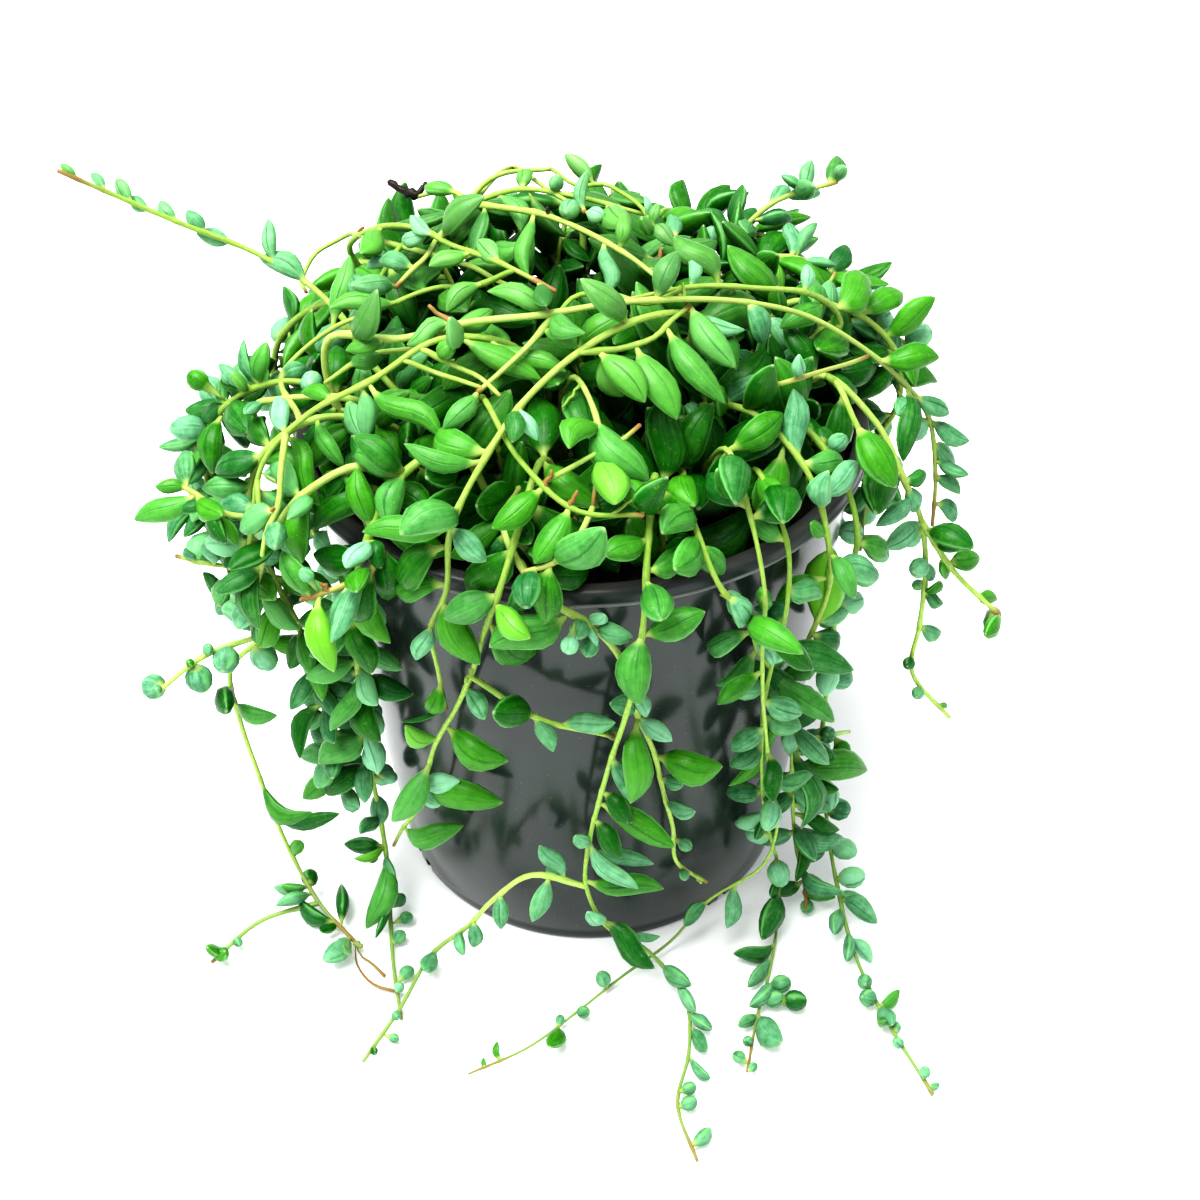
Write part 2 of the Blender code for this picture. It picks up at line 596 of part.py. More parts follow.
def part_crowded_edges(shape):
    """Where more than two triangles share an edge, turn the diagonal of one flat pair of them."""
    for edge in [edge for edge in shape.edges if len(edge.link_faces) > 2]:
        pairs = []
        for first in edge.link_faces:
            for second in edge.link_faces:
                if first is not second:
                    pairs.append((first.normal.angle(second.normal, math.pi), first, second))
        for _, first, second in sorted(pairs, key=lambda pair: pair[0]):
            loop = next(corner for corner in first.loops if corner.edge is edge)
            start, end = loop.vert, loop.link_loop_next.vert
            top = loop.link_loop_prev.vert
            low = next(vertex for vertex in second.verts if vertex not in (start, end))
            if shape.edges.get((top, low)) or top is low:
                continue
            shape.faces.remove(first)
            shape.faces.remove(second)
            shape.faces.new((start, low, top))
            shape.faces.new((low, end, top))
            break


def tidy_triangles(mesh):
    """Make a fused mesh triangles with no slivers, and keep its largest connected piece."""
    shape = bmesh.new()
    shape.from_mesh(mesh)
    bmesh.ops.triangulate(shape, faces=shape.faces)
    bmesh.ops.dissolve_degenerate(shape, dist=SLIVER * MM, edges=shape.edges)
    bmesh.ops.triangulate(shape, faces=shape.faces)
    part_crowded_edges(shape)
    open_edges = [edge for edge in shape.edges if len(edge.link_faces) == 1]
    bmesh.ops.holes_fill(shape, edges=open_edges, sides=3)
    bmesh.ops.recalc_face_normals(shape, faces=shape.faces)
    bare_edges = [edge for edge in shape.edges if not edge.link_faces]
    bmesh.ops.delete(shape, geom=bare_edges, context="EDGES")
    left = set(shape.verts)
    pieces = []
    while left:
        front = [left.pop()]
        piece = list(front)
        while front:
            for edge in front.pop().link_edges:
                for vertex in edge.verts:
                    if vertex in left:
                        left.remove(vertex)
                        front.append(vertex)
                        piece.append(vertex)
        pieces.append(piece)
    pieces.sort(key=len)
    for piece in pieces[:-1]:
        bmesh.ops.delete(shape, geom=piece, context="VERTS")
    shape.to_mesh(mesh)
    shape.free()


def fuse(base, cutters, operation, solver):
    """Join or cut an object with all the objects of a collection, and remove them."""
    joined = base.modifiers.new(operation.lower(), "BOOLEAN")
    joined.operation = operation
    joined.operand_type = "COLLECTION"
    joined.collection = cutters
    joined.solver = solver
    mesh = evaluated_mesh(base)
    base.modifiers.clear()
    old = base.data
    base.data = mesh
    bpy.data.meshes.remove(old)
    for item in list(cutters.objects):
        bpy.data.objects.remove(item)


def build_stems(points, stems, collection, workshop):
    """Make one solid of each leafy stem with its side stems and leaves."""
    leaf_green = material("plant_green", LEAF_COLOUR, 0.35)
    blue_green = material("plant_blue_green", BLUE_LEAF_COLOUR, 0.45)
    for main in [stem for stem in stems if not stem.is_side]:
        family = [stem for stem in stems if stem.group == main.group]
        trunk = tube("stem_" + main.name, points[main.indices], main.radii(), collection)
        for stem in family:
            if stem.is_side:
                tube(stem.name, points[stem.indices], stem.radii(), workshop)
            for number, leaf in enumerate(stem.leaves):
                leaf_object("%s_leaf_%d" % (stem.name, number), leaf, workshop)
        fuse(trunk, workshop, "UNION", "MANIFOLD")
        tidy_triangles(trunk.data)
        trunk.data.materials.clear()
        is_small = main.leaf_end < BLUE_GREEN_BELOW
        trunk.data.materials.append(blue_green if is_small else leaf_green)


def turned(name, profile, steps, collection):
    """Return an object turned about the vertical axis from a closed profile, top to bottom outside."""
    mesh = bpy.data.meshes.new(name)
    corners = [(radius * MM, 0.0, height * MM) for radius, height in profile]
    edges = [(place, place + 1) for place in range(len(corners) - 1)]
    mesh.from_pydata(corners, edges, [])
    made = bpy.data.objects.new(name, mesh)
    collection.objects.link(made)
    screw = made.modifiers.new("turn", "SCREW")
    screw.steps = steps
    screw.render_steps = steps
    screw.use_merge_vertices = True
    screw.merge_threshold = 0.00001
    screw.use_smooth_shade = True
    return made


def build_pot(collection, cutters):
    """Make the tapered pot with its flat rim, short skirt and paired notches at the foot."""
    skirt_foot = POT_HEIGHT - SKIRT_HEIGHT
    inner_rim = RIM_RADIUS - RIM_WIDTH
    profile = (
        (0.0, FLOOR_THICKNESS),
        (BASE_RADIUS - WALL - 0.5, FLOOR_THICKNESS),
        (WALL_TOP_RADIUS - WALL, skirt_foot - 1.0),
        (inner_rim, POT_HEIGHT - 0.6),
        (inner_rim + 0.5, POT_HEIGHT),
        (RIM_RADIUS - 0.6, POT_HEIGHT),
        (RIM_RADIUS, POT_HEIGHT - 0.6),
        (RIM_RADIUS, skirt_foot),
        (WALL_TOP_RADIUS, skirt_foot),
        (BASE_RADIUS, BASE_EDGE),
        (BASE_RADIUS - BASE_EDGE, 0.0),
        (0.0, 0.0),
    )
    pot = turned("pot", profile, POT_STEPS, collection)
    mesh = evaluated_mesh(pot)
    pot.modifiers.clear()
    pot.data = mesh
    for azimuth in NOTCH_AZIMUTHS:
        for side in (-1, 1):
            angle = azimuth + side * NOTCH_HALF_STEP
            centre = polar(angle, BASE_RADIUS, 0.5 * NOTCH_HEIGHT - 0.5) * MM
            turned_by = (0.0, 0.0, math.radians(angle))
            bpy.ops.mesh.primitive_cube_add(size=MM, location=centre, rotation=turned_by)
            block = bpy.context.object
            block.name = "notch"
            block.scale = (5.0, NOTCH_WIDTH, NOTCH_HEIGHT)
            block.hide_render = True
            block.display_type = "WIRE"
            for owner in list(block.users_collection):
                owner.objects.unlink(block)
            cutters.objects.link(block)
    bpy.context.view_layer.update()
    fuse(pot, cutters, "DIFFERENCE", "EXACT")
    pot.data.materials.clear()
    pot.data.materials.append(material("pot_plastic", POT_COLOUR, 0.3))
    pot.data.shade_smooth()
    pot.data.set_sharp_from_angle(angle=math.radians(30.0))
    return pot


def soil_radius(height):
    """Return the soil's radius at a height, a little inside the pot's wall."""
    top = POT_HEIGHT - SKIRT_HEIGHT - 1.0
    share = (height - FLOOR_THICKNESS) / (top - FLOOR_THICKNESS)
    foot = BASE_RADIUS - WALL - 0.5
    return foot + (WALL_TOP_RADIUS - WALL - foot) * share - 3.0 * SOIL_GAP


def build_soil(points, stems, collection, cutters):
    """Make the soil that fills the pot, with a plain hole round each stem's foot."""
    foot = FLOOR_THICKNESS + SOIL_GAP
    profile = (
        (0.0, SOIL_TOP),
        (soil_radius(SOIL_TOP), SOIL_TOP),
        (soil_radius(foot), foot),
        (0.0, foot),
    )
    soil = turned("soil", profile, SOIL_SIDES, collection)
    mesh = evaluated_mesh(soil)
    soil.modifiers.clear()
    soil.data = mesh
    for stem in stems:
        if stem.is_side:
            continue
        centre = points[stem.indices[0]]
        shape = bmesh.new()
        bmesh.ops.create_cone(shape, cap_ends=True, segments=HOLE_SIDES, radius1=HOLE_RADIUS * MM,
                              radius2=HOLE_RADIUS * MM, depth=2.0 * HOLE_DEPTH * MM)
        block_mesh = bpy.data.meshes.new("hole")
        shape.to_mesh(block_mesh)
        shape.free()
        block = bpy.data.objects.new("hole", block_mesh)
        block.location = (centre[0] * MM, centre[1] * MM, SOIL_TOP * MM)
        block.hide_render = True
        block.display_type = "WIRE"
        cutters.objects.link(block)
    bpy.context.view_layer.update()
    fuse(soil, cutters, "DIFFERENCE", "EXACT")
    soil.data.materials.clear()
    soil.data.materials.append(material("soil_mix", SOIL_COLOUR, 0.95))
    return soil


def main():
    """Build the whole part."""
    for item in list(bpy.data.objects):
        bpy.data.objects.remove(item)
    collection = new_collection("potted_string_of_watermelons")
    cutters = new_collection("cutters")
    points, held, stems = lay_out()
    points = bend_clear(points, held, stems)
    grow_leaves(points, stems)
    build_pot(collection, cutters)
    build_soil(points, stems, collection, cutters)
    build_stems(points, stems, collection, cutters)


if __name__ == "__main__":
    main()
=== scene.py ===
"""The looks of a potted string of watermelons, laid out as a Blender add-on.

The plant is worked out in millimetres about the pot's axis, by the same rules and the same
random draws as its plain solids. A leaf that the photograph shows has its foot on the stem that carries
it and its tip on its own line of sight, and seeded rounds of leaves fill the gaps. Each stem gets
a smooth stalk and shaped leaves, and the pot and the soil get their detail.
"""
import math
from typing import NamedTuple

import bpy
import numpy as np
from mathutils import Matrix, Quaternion, Vector


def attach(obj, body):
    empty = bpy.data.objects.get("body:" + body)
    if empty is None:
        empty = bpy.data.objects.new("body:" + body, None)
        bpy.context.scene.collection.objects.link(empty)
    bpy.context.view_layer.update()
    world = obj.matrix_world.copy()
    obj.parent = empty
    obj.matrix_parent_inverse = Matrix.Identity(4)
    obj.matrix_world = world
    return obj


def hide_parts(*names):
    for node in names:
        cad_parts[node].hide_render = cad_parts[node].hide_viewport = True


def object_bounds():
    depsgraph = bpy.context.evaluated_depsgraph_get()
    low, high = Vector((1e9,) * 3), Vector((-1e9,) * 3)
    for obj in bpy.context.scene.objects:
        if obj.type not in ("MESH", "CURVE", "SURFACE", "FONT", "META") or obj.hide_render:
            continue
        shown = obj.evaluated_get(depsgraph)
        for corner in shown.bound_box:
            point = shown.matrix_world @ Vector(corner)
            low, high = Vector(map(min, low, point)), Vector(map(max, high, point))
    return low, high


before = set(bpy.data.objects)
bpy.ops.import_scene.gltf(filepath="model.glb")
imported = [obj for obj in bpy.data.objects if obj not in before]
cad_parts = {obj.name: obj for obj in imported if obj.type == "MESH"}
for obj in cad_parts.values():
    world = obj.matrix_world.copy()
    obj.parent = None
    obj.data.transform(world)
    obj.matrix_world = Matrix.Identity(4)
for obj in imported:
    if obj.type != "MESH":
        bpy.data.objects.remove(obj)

CAD_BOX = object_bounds()

bl_info = {
    "name": "Potted string of watermelons",
    "version": (1, 0, 0),
    "blender": (4, 5, 0),
    "location": "3D View > Sidebar > Plant",
    "description": "Dresses a potted trailing succulent: pot, soil, leafy strands and studio",
    "category": "Object",
}

MM = 0.001
# The plain model's lowest and highest corners, in millimetres
BOX_LOW, BOX_HIGH = (np.array(corner) / MM for corner in CAD_BOX)

# Pot, in millimetres
POT_HEIGHT = 135.0
RIM_RADIUS = 70.0
RIM_WIDTH = 3.8
SKIRT_HEIGHT = 4.0
WALL_TOP_RADIUS = 67.4
BASE_RADIUS = 54.0
WALL = 1.3
FLOOR_THICKNESS = 2.0
FOOT_HOLLOW = 0.8
POT_STEPS = 144
NOTCH_AZIMUTHS = (-152.0, -52.0, 28.0, 128.0)
NOTCH_HALF_STEP = 3.2
NOTCH_SIZE = (5.0, 3.0, 5.0)
# Two small holes low on the wall, painted as dark spots of shade and not cut: place and radius, in metres
HOLE_SHADE_SPOTS = ((0.0444, -0.0310, 0.0032, 0.0017), (0.0341, -0.0459, 0.0316, 0.0010))

# Soil, in millimetres
SOIL_TOP = 127.0
SOIL_GAP = 0.35
SOIL_GRID = (44, 120)
# Lengths and heights of the waves that make the soil's lumps
SOIL_WAVES = ((9.0, 0.45), (4.5, 0.35), (2.3, 0.22))

# Stems and leaves, in millimetres and degrees, as in the plain solids
STEM_RADIUS = 1.25
TIP_RADIUS = 0.65
STEM_STEP = 16.0
ROOT_DEPTH = 11.0
ROOT_RISE = 4.0
ROOT_SPREAD = 55.0
ROOT_SHARE = 0.72
STEM_MARGIN = 0.7
RELAX_ROUNDS = 160
SAMPLES_PER_SPAN = 5
FLOOR_MARGIN = 0.3
REACH_SPARE = 8.0
LEAF_SLIMNESS = 0.42
BEAD_ROUNDNESS = 0.86
BEAD_FROM = 12.0
BEAD_RATE = 0.09
LEAF_TURN = 137.5
LEAF_TURNS = 12
LEAF_STATIONS = np.array((0.2, 0.34, 0.48, 0.62, 0.76, 0.9))
LEAST_BALL = 0.5
BLUE_GREEN_BELOW = 10.0
SEED = 7

# Name, leaf length at the crown and at the tip, space between leaves, route.
MAIN_STEMS = (
    ("upper_left", 15, 8, 13, (
        (-150, 50, 160), (176, 62, 168), (173, 76, 175), (175, 88, 182), (177, 100, 190),
        (180, 114, 201))),
    ("upper_right", 15, 11, 9, (
        (30, 38, 158), (45, 56, 161), (41, 61, 168), (38, 66, 171), (35, 71, 174), (32, 76, 175))),
    ("right_tip", 14, 7, 11, ((-12, 52, 158), (10, 66, 152), (16, 72, 149), (13, 79, 144), (11, 85, 141))),
    ("arc_right", 17, 13, 24, (
        (-2, 60, 164), (-12, 52, 173), (-24, 42, 178), (-45, 33, 182), (-70, 30, 182))),
    ("arc_over", 15, 9, 17, (
        (-149, 63, 171), (-142, 57, 175), (-130, 47, 179), (-112, 39, 182), (-90, 35, 184),
        (-66, 35, 184), (-40, 40, 180), (-20, 52, 172), (-12, 65, 161), (-8, 76, 149), (-6, 83, 139),
        (-7, 87, 122), (-7, 88, 106))),
    ("arc_left", 16, 11, 18, (
        (-110, 34, 172), (-126, 44, 181), (-131, 53, 177), (-136, 63, 172), (-141, 71, 167),
        (-146, 80, 159), (-145, 88, 142), (-150, 90, 124))),
    ("arc_front", 19, 13, 21, (
        (-50, 36, 178), (-72, 39, 182), (-90, 46, 180), (-101, 55, 174), (-106, 64, 167),
        (-111, 73, 157), (-111, 77, 147), (-113, 76, 134), (-118, 74, 119), (-118, 70, 102),
        (-119, 68, 92))),
    ("arc_low", 17, 15, 24, (
        (-116, 48, 170), (-107, 59, 170), (-102, 64, 166), (-95, 67, 162), (-90, 71, 157),
        (-84, 73, 153), (-80, 73, 157))),
    ("arc_middle", 18, 15, 26, ((-92, 42, 172), (-87, 52, 173), (-86, 60, 167), (-88, 69, 157))),
    ("top_hub", 18, 14, 15, ((150, 38, 172), (141, 32, 182), (115, 17, 186), (80, 10, 187), (20, 16, 185))),
    ("top_left", 16, 14, 19, (
        (155, 58, 160), (161, 58, 172), (166, 47, 180), (180, 35, 185), (-141, 29, 188), (-118, 29, 189),
        (-98, 33, 187))),
    ("left_bend", 14, 12, 13, (
        (-150, 62, 162), (-166, 80, 150), (180, 89, 138), (-177, 98, 121), (-169, 93, 115),
        (-161, 88, 121))),
    ("left_trail", 17, 8, 17, (
        (-136, 74, 156), (-142, 87, 138), (-152, 88, 108), (-160, 87, 87), (-161, 96, 79),
        (-159, 95, 62), (-158, 93, 40), (-158, 90, 18), (-153, 88, 8), (-146, 86, 4), (-139, 85, 3))),
    ("left_hang", 17, 12, 12, (
        (-160, 66, 160), (-168, 84, 150), (-172, 92, 132), (-169, 92, 110), (-166, 90, 96))),
    ("left_dense", 18, 13, 10, (
        (-146, 66, 160), (-152, 84, 146), (-152, 84, 124), (-149, 79, 98), (-151, 76, 68),
        (-154, 74, 40))),
    ("left_front", 18, 8, 12, (
        (-122, 60, 162), (-127, 77, 143), (-133, 76, 123), (-138, 73, 97), (-143, 70, 72),
        (-149, 67, 42), (-147, 67, 18), (-142, 71, 5), (-132, 80, 3), (-122, 94, 3))),
    ("front_left", 19, 11, 15, (
        (-98, 56, 160), (-102, 76, 145), (-105, 76, 133), (-109, 73, 118), (-113, 70, 103),
        (-120, 69, 86), (-125, 68, 71), (-129, 67, 54), (-138, 66, 36), (-146, 65, 20))),
    ("front_bead", 16, 6, 12, (
        (-106, 62, 152), (-99, 74, 141), (-92, 73, 133), (-86, 71, 122), (-82, 69, 110), (-81, 68, 100),
        (-77, 67, 84), (-74, 65, 66), (-70, 63, 45), (-66, 61, 26), (-61, 62, 23))),
    ("front_trail", 20, 8, 15, (
        (-74, 58, 158), (-80, 76, 145), (-81, 79, 130), (-83, 75, 105), (-86, 71, 84), (-89, 69, 64),
        (-91, 67, 45), (-90, 68, 28), (-83, 68, 17), (-76, 69, 8), (-73, 76, 4), (-74, 88, 3),
        (-77, 101, 3), (-80, 114, 3), (-79, 126, 3))),
    ("right_floor", 18, 7, 15, (
        (-58, 58, 158), (-61, 78, 140), (-60, 78, 116), (-55, 74, 80), (-48, 70, 44), (-46, 68, 26),
        (-52, 66, 22), (-60, 64, 19), (-67, 63, 9), (-75, 64, 4), (-86, 71, 3), (-94, 81, 3),
        (-100, 91, 3), (-108, 103, 3))),
    ("right_front", 20, 12, 12, (
        (-68, 60, 152), (-70, 77, 142), (-63, 77, 129), (-58, 74, 112), (-52, 72, 97), (-46, 70, 80),
        (-41, 68, 58), (-37, 67, 34), (-36, 70, 12), (-37, 74, 4))),
    ("right_inner", 16, 8, 15, (
        (-52, 62, 152), (-55, 78, 138), (-56, 74, 106), (-53, 70, 72), (-48, 67, 44), (-43, 67, 22),
        (-43, 70, 8), (-50, 75, 3), (-57, 84, 3), (-64, 94, 3), (-69, 106, 3))),
    ("right_trail", 17, 7, 14, (
        (-36, 60, 154), (-38, 77, 140), (-37, 74, 110), (-31, 71, 66), (-27, 71, 32), (-32, 77, 13),
        (-37, 85, 6), (-43, 95, 3), (-47, 107, 3), (-50, 121, 3), (-52, 135, 3))),
    ("right_rim", 19, 14, 12, (
        (-46, 54, 160), (-45, 70, 150), (-46, 77, 138), (-44, 77, 124), (-43, 75, 114), (-46, 73, 102))),
    ("right_hang", 17, 7, 13, (
        (-20, 54, 158), (-24, 74, 149), (-24, 82, 134), (-19, 86, 117), (-19, 88, 100), (-19, 88, 80),
        (-20, 90, 66), (-21, 99, 63))),
)

# Name, the stem that it leaves, leaf length at its foot and at its tip, space between leaves, route.
SIDE_STEMS = (
    ("hub_up", "top_hub", 15, 13, 12, ((141, 32, 182), (124, 30, 187), (104, 24, 188))),
    ("hub_down", "top_hub", 17, 14, 14, ((141, 32, 182), (165, 40, 178), (-173, 48, 172))),
    ("left_twig", "left_trail", 9, 7, 12, (
        (-160, 87, 87), (-159, 94, 92), (-157, 104, 91), (-155, 114, 89))),
    ("left_side", "left_trail", 9, 8, 13, ((-154, 89, 9), (-153, 96, 5), (-151, 107, 3), (-149, 119, 3))),
    ("front_twig", "front_left", 12, 9, 13, (
        (-113, 70, 103), (-104, 71, 101), (-94, 71, 97), (-85, 70, 92))),
    ("floor_left", "front_trail", 13, 7, 14, (
        (-91, 67, 45), (-98, 70, 46), (-107, 71, 38), (-117, 70, 18), (-125, 76, 5), (-124, 88, 3),
        (-122, 99, 3), (-122, 110, 3))),
    ("right_twig", "right_front", 13, 10, 12, ((-44, 69, 72), (-31, 71, 60), (-18, 73, 46))),
    ("right_spur", "right_hang", 13, 9, 9, (
        (-19, 86, 117), (-20, 94, 109), (-21, 100, 104), (-22, 107, 101))),
)

# Stems behind the pot follow a rule: azimuth, how far down they hang, and how far out they end.
BACK_AZIMUTHS = (6, 28, 48, 68, 88, 108, 128, 148, 168)
BACK_ENDS = (88, 40, 3, 66, 3, 84, 30, 3, 56)
BACK_SWAY = 7.0
BACK_WALL_GAP = 9.0
BACK_FLOOR_REACHES = (24.0, 34.0, 44.0, 54.0)
FLOOR_HEIGHT = 3.0
BACK_LEAVES = (18, 9, 15)

# Short upright stems fill the crown and lean outward. The crown is a dome over the pot.
TUFT_COUNT = 16
TUFT_LEAN = 16.0
TUFT_LEAVES = (20, 16, 9.0)
CROWN_HEIGHT = 56.0
CROWN_RADIUS = 84.0


def polar(azimuth, radius, height):
    """Return the point at an azimuth in degrees, a radius and a height."""
    angle = math.radians(azimuth)
    return np.array((radius * math.cos(angle), radius * math.sin(angle), height))


def unit(ways):
    """Return vectors scaled to length one."""
    return ways / np.maximum(np.linalg.norm(ways, axis=-1, keepdims=True), 1e-9)


def wall_radius(height):
    """Return the pot's outer radius at a height."""
    share = min(max(height / (POT_HEIGHT - SKIRT_HEIGHT), 0.0), 1.0)
    return BASE_RADIUS + (WALL_TOP_RADIUS - BASE_RADIUS) * share


def back_stems():
    """Return the stems behind the pot: over the rim, down the wall and, if long, out on the floor."""
    rng = np.random.default_rng(SEED)
    stems = []
    for number, (azimuth, end) in enumerate(zip(BACK_AZIMUTHS, BACK_ENDS)):
        sway = rng.uniform(-BACK_SWAY, BACK_SWAY, 5)
        route = [
            (azimuth, 52, 162),
            (azimuth, 76, 148),
            (azimuth + 0.4 * sway[0], 80, 130),
        ]
        for place, height in enumerate(np.linspace(116, max(end, 26), 4)):
            offset = BACK_WALL_GAP + 3.0 * math.sin(number + place)
            route.append((azimuth + sway[place], wall_radius(height) + offset, height))
        if end <= FLOOR_HEIGHT:
            for place, reach in enumerate(BACK_FLOOR_REACHES):
                lift = 3.0 * FLOOR_HEIGHT if place == 0 else FLOOR_HEIGHT
                turn = sway[3] + 3.0 * place * math.copysign(1.0, sway[4])
                route.append((azimuth + turn, BASE_RADIUS + reach, lift))
        stems.append(("back_%d" % (number + 1), *BACK_LEAVES, tuple(route)))
    return stems


def crown_top(radius):
    """Return the height of the crown's dome at a radius."""
    return SOIL_TOP + CROWN_HEIGHT * math.sqrt(max(1.0 - (radius / CROWN_RADIUS) ** 2, 0.0))


def tuft_stems(places):
    """Return the short stems that rise from places in the soil to the crown's dome."""
    rng = np.random.default_rng(SEED + 1)
    stems = []
    for number, (x, y) in enumerate(places):
        azimuth = math.degrees(math.atan2(y, x))
        radius = math.hypot(x, y)
        turn = rng.uniform(-25.0, 25.0, 2) * min(1.0, 20.0 / radius)
        top = crown_top(radius + TUFT_LEAN) + rng.uniform(-10.0, 0.0)
        route = (
            (azimuth + 0.3 * turn[0], radius + 0.2 * TUFT_LEAN, SOIL_TOP + 18.0),
            (azimuth + turn[0], radius + 0.6 * TUFT_LEAN, 0.5 * (SOIL_TOP + 16.0 + top)),
            (azimuth + turn[1], radius + TUFT_LEAN, top),
        )
        stems.append(("tuft_%d" % (number + 1), *TUFT_LEAVES, route))
    return stems


def run_along(path):
    """Return how far along a path each of its points lies."""
    return np.concatenate(([0.0], np.cumsum(np.linalg.norm(np.diff(path, axis=0), axis=1))))


def places_along(distance, along, path):
    """Return the places at distances along a path, of which along says where its points lie."""
    return np.stack([np.interp(distance, along, path[:, axis]) for axis in range(3)], axis=-1)


def smooth(points, step):
    """Return points about one step apart on the curve that passes smoothly through a route.

    Between two points of the route the curve is the cubic that has both points and the slopes
    of the route at them.
    """
    points = np.asarray(points, float)
    knots = run_along(points)
    slopes = np.gradient(points, knots, axis=0)
    fine = np.linspace(0.0, knots[-1], 40 * len(points))
    span = np.clip(np.searchsorted(knots, fine, side="right") - 1, 0, len(points) - 2)
    width = (knots[span + 1] - knots[span])[:, None]
    t = (fine - knots[span])[:, None] / width
    curve = (
        (2 * t ** 3 - 3 * t ** 2 + 1) * points[span]
        + (t ** 3 - 2 * t ** 2 + t) * width * slopes[span]
        + (3 * t ** 2 - 2 * t ** 3) * points[span + 1]
        + (t ** 3 - t ** 2) * width * slopes[span + 1]
    )
    along = run_along(curve)
    count = max(2, int(round(along[-1] / step)) + 1)
    return places_along(np.linspace(0.0, along[-1], count), along, curve)


def root_places(count):
    """Return places in the soil on a sunflower spiral, so that no two roots meet."""
    order = np.arange(count)
    radius = ROOT_SPREAD * np.sqrt((order + 0.5) / count)
    angle = np.radians(LEAF_TURN) * order
    return np.stack((radius * np.cos(angle), radius * np.sin(angle)), axis=1)


class Stem:
    """One stem: its name, the stem that carries it, its points in the shared list and its leaves."""

    def __init__(self, name, group, indices, leaf_start, leaf_end, gap, is_side):
        self.name = name
        self.group = group
        self.indices = indices
        self.leaf_start = leaf_start
        self.leaf_end = leaf_end
        self.gap = gap
        self.is_side = is_side
        self.leaves = []
        self.stubs = []
        self.twin = None
        self.foot = None
        self.width = 0.8 * STEM_RADIUS if is_side else STEM_RADIUS
        self.dryness = 0.0

    def radii(self):
        """Return the stem's radius at each of its points, thinner towards the tip."""
        share = np.linspace(0.0, 1.0, len(self.indices))
        return self.width + (TIP_RADIUS - self.width) * share


def lay_out():
    """Return the shared points, which of them are held fast, and the stems."""
    trailing = list(MAIN_STEMS) + back_stems()
    free_places = root_places(len(trailing) + TUFT_COUNT)
    feet = []
    for stem in trailing:
        wanted = ROOT_SHARE * polar(*stem[-1][0])[:2]
        nearest = int(np.argmin(np.linalg.norm(free_places - wanted, axis=1)))
        feet.append(free_places[nearest])
        free_places = np.delete(free_places, nearest, axis=0)
    mains = trailing + tuft_stems(free_places)
    feet.extend(free_places)
    points = []
    held = []
    stems = []
    for group, (name, leaf_start, leaf_end, gap, route) in enumerate(mains):
        route = [polar(*place) for place in route]
        x, y = feet[group]
        foot = np.array((x, y, SOIL_TOP - ROOT_DEPTH))
        collar = np.array((x, y, SOIL_TOP + ROOT_RISE))
        above = smooth([collar] + route, STEM_STEP)
        first = len(points)
        points.extend([foot] + list(above))
        held.extend([True, True] + [False] * (len(above) - 1))
        indices = list(range(first, len(points)))
        stems.append(Stem(name, group, indices, leaf_start, leaf_end, gap, False))
    by_name = {stem.name: stem for stem in stems}
    for name, carrier, leaf_start, leaf_end, gap, route in SIDE_STEMS:
        parent = by_name[carrier]
        route = [polar(*place) for place in route]
        distances = [np.linalg.norm(points[index] - route[0]) for index in parent.indices]
        joint = parent.indices[int(np.argmin(distances))]
        route[0] = points[joint]
        path = smooth(route, STEM_STEP)
        first = len(points)
        points.extend(list(path[1:]))
        held.extend([False] * (len(path) - 1))
        indices = [joint] + list(range(first, len(points)))
        stems.append(Stem(name, parent.group, indices, leaf_start, leaf_end, gap, True))
    return np.array(points), np.array(held), stems


POT_OUTLINE = np.array((
    (0.0, SOIL_TOP),
    (RIM_RADIUS - RIM_WIDTH, SOIL_TOP),
    (RIM_RADIUS - RIM_WIDTH, POT_HEIGHT),
    (RIM_RADIUS, POT_HEIGHT),
    (RIM_RADIUS, POT_HEIGHT - SKIRT_HEIGHT),
    (WALL_TOP_RADIUS, POT_HEIGHT - SKIRT_HEIGHT),
    (BASE_RADIUS, 0.0),
    (0.0, 0.0),
))


def pot_distance(places):
    """Return how far places are from the filled pot, less than zero inside, and the way out."""
    flat = np.stack((np.hypot(places[..., 0], places[..., 1]), places[..., 2]), axis=-1)
    start = POT_OUTLINE[:-1]
    run = POT_OUTLINE[1:] - start
    offset = flat[..., None, :] - start
    share = np.clip((offset * run).sum(-1) / (run * run).sum(-1), 0.0, 1.0)
    away = offset - share[..., None] * run
    distance = np.linalg.norm(away, axis=-1)
    nearest = distance.argmin(-1)[..., None]
    closest = np.take_along_axis(distance, nearest, -1)[..., 0]
    way = np.take_along_axis(away, nearest[..., None], -2)[..., 0, :]
    edge_start = start[:, 1]
    edge_end = edge_start + run[:, 1]
    height = flat[..., 1, None]
    spans = (edge_start > height) != (edge_end > height)
    slope = np.where(run[:, 1] == 0.0, 1.0, run[:, 1])
    crossing = start[:, 0] + run[:, 0] * (height - edge_start) / slope
    inside = (spans & (crossing > flat[..., 0, None])).sum(-1) % 2 == 1
    sign = np.where(inside, -1.0, 1.0)
    way = way * (sign / np.maximum(closest, 1e-6))[..., None]
    radial = places[..., :2] / np.maximum(flat[..., :1], 1e-6)
    outward = np.concatenate((radial * way[..., :1], way[..., 1:]), axis=-1)
    return closest * sign, outward


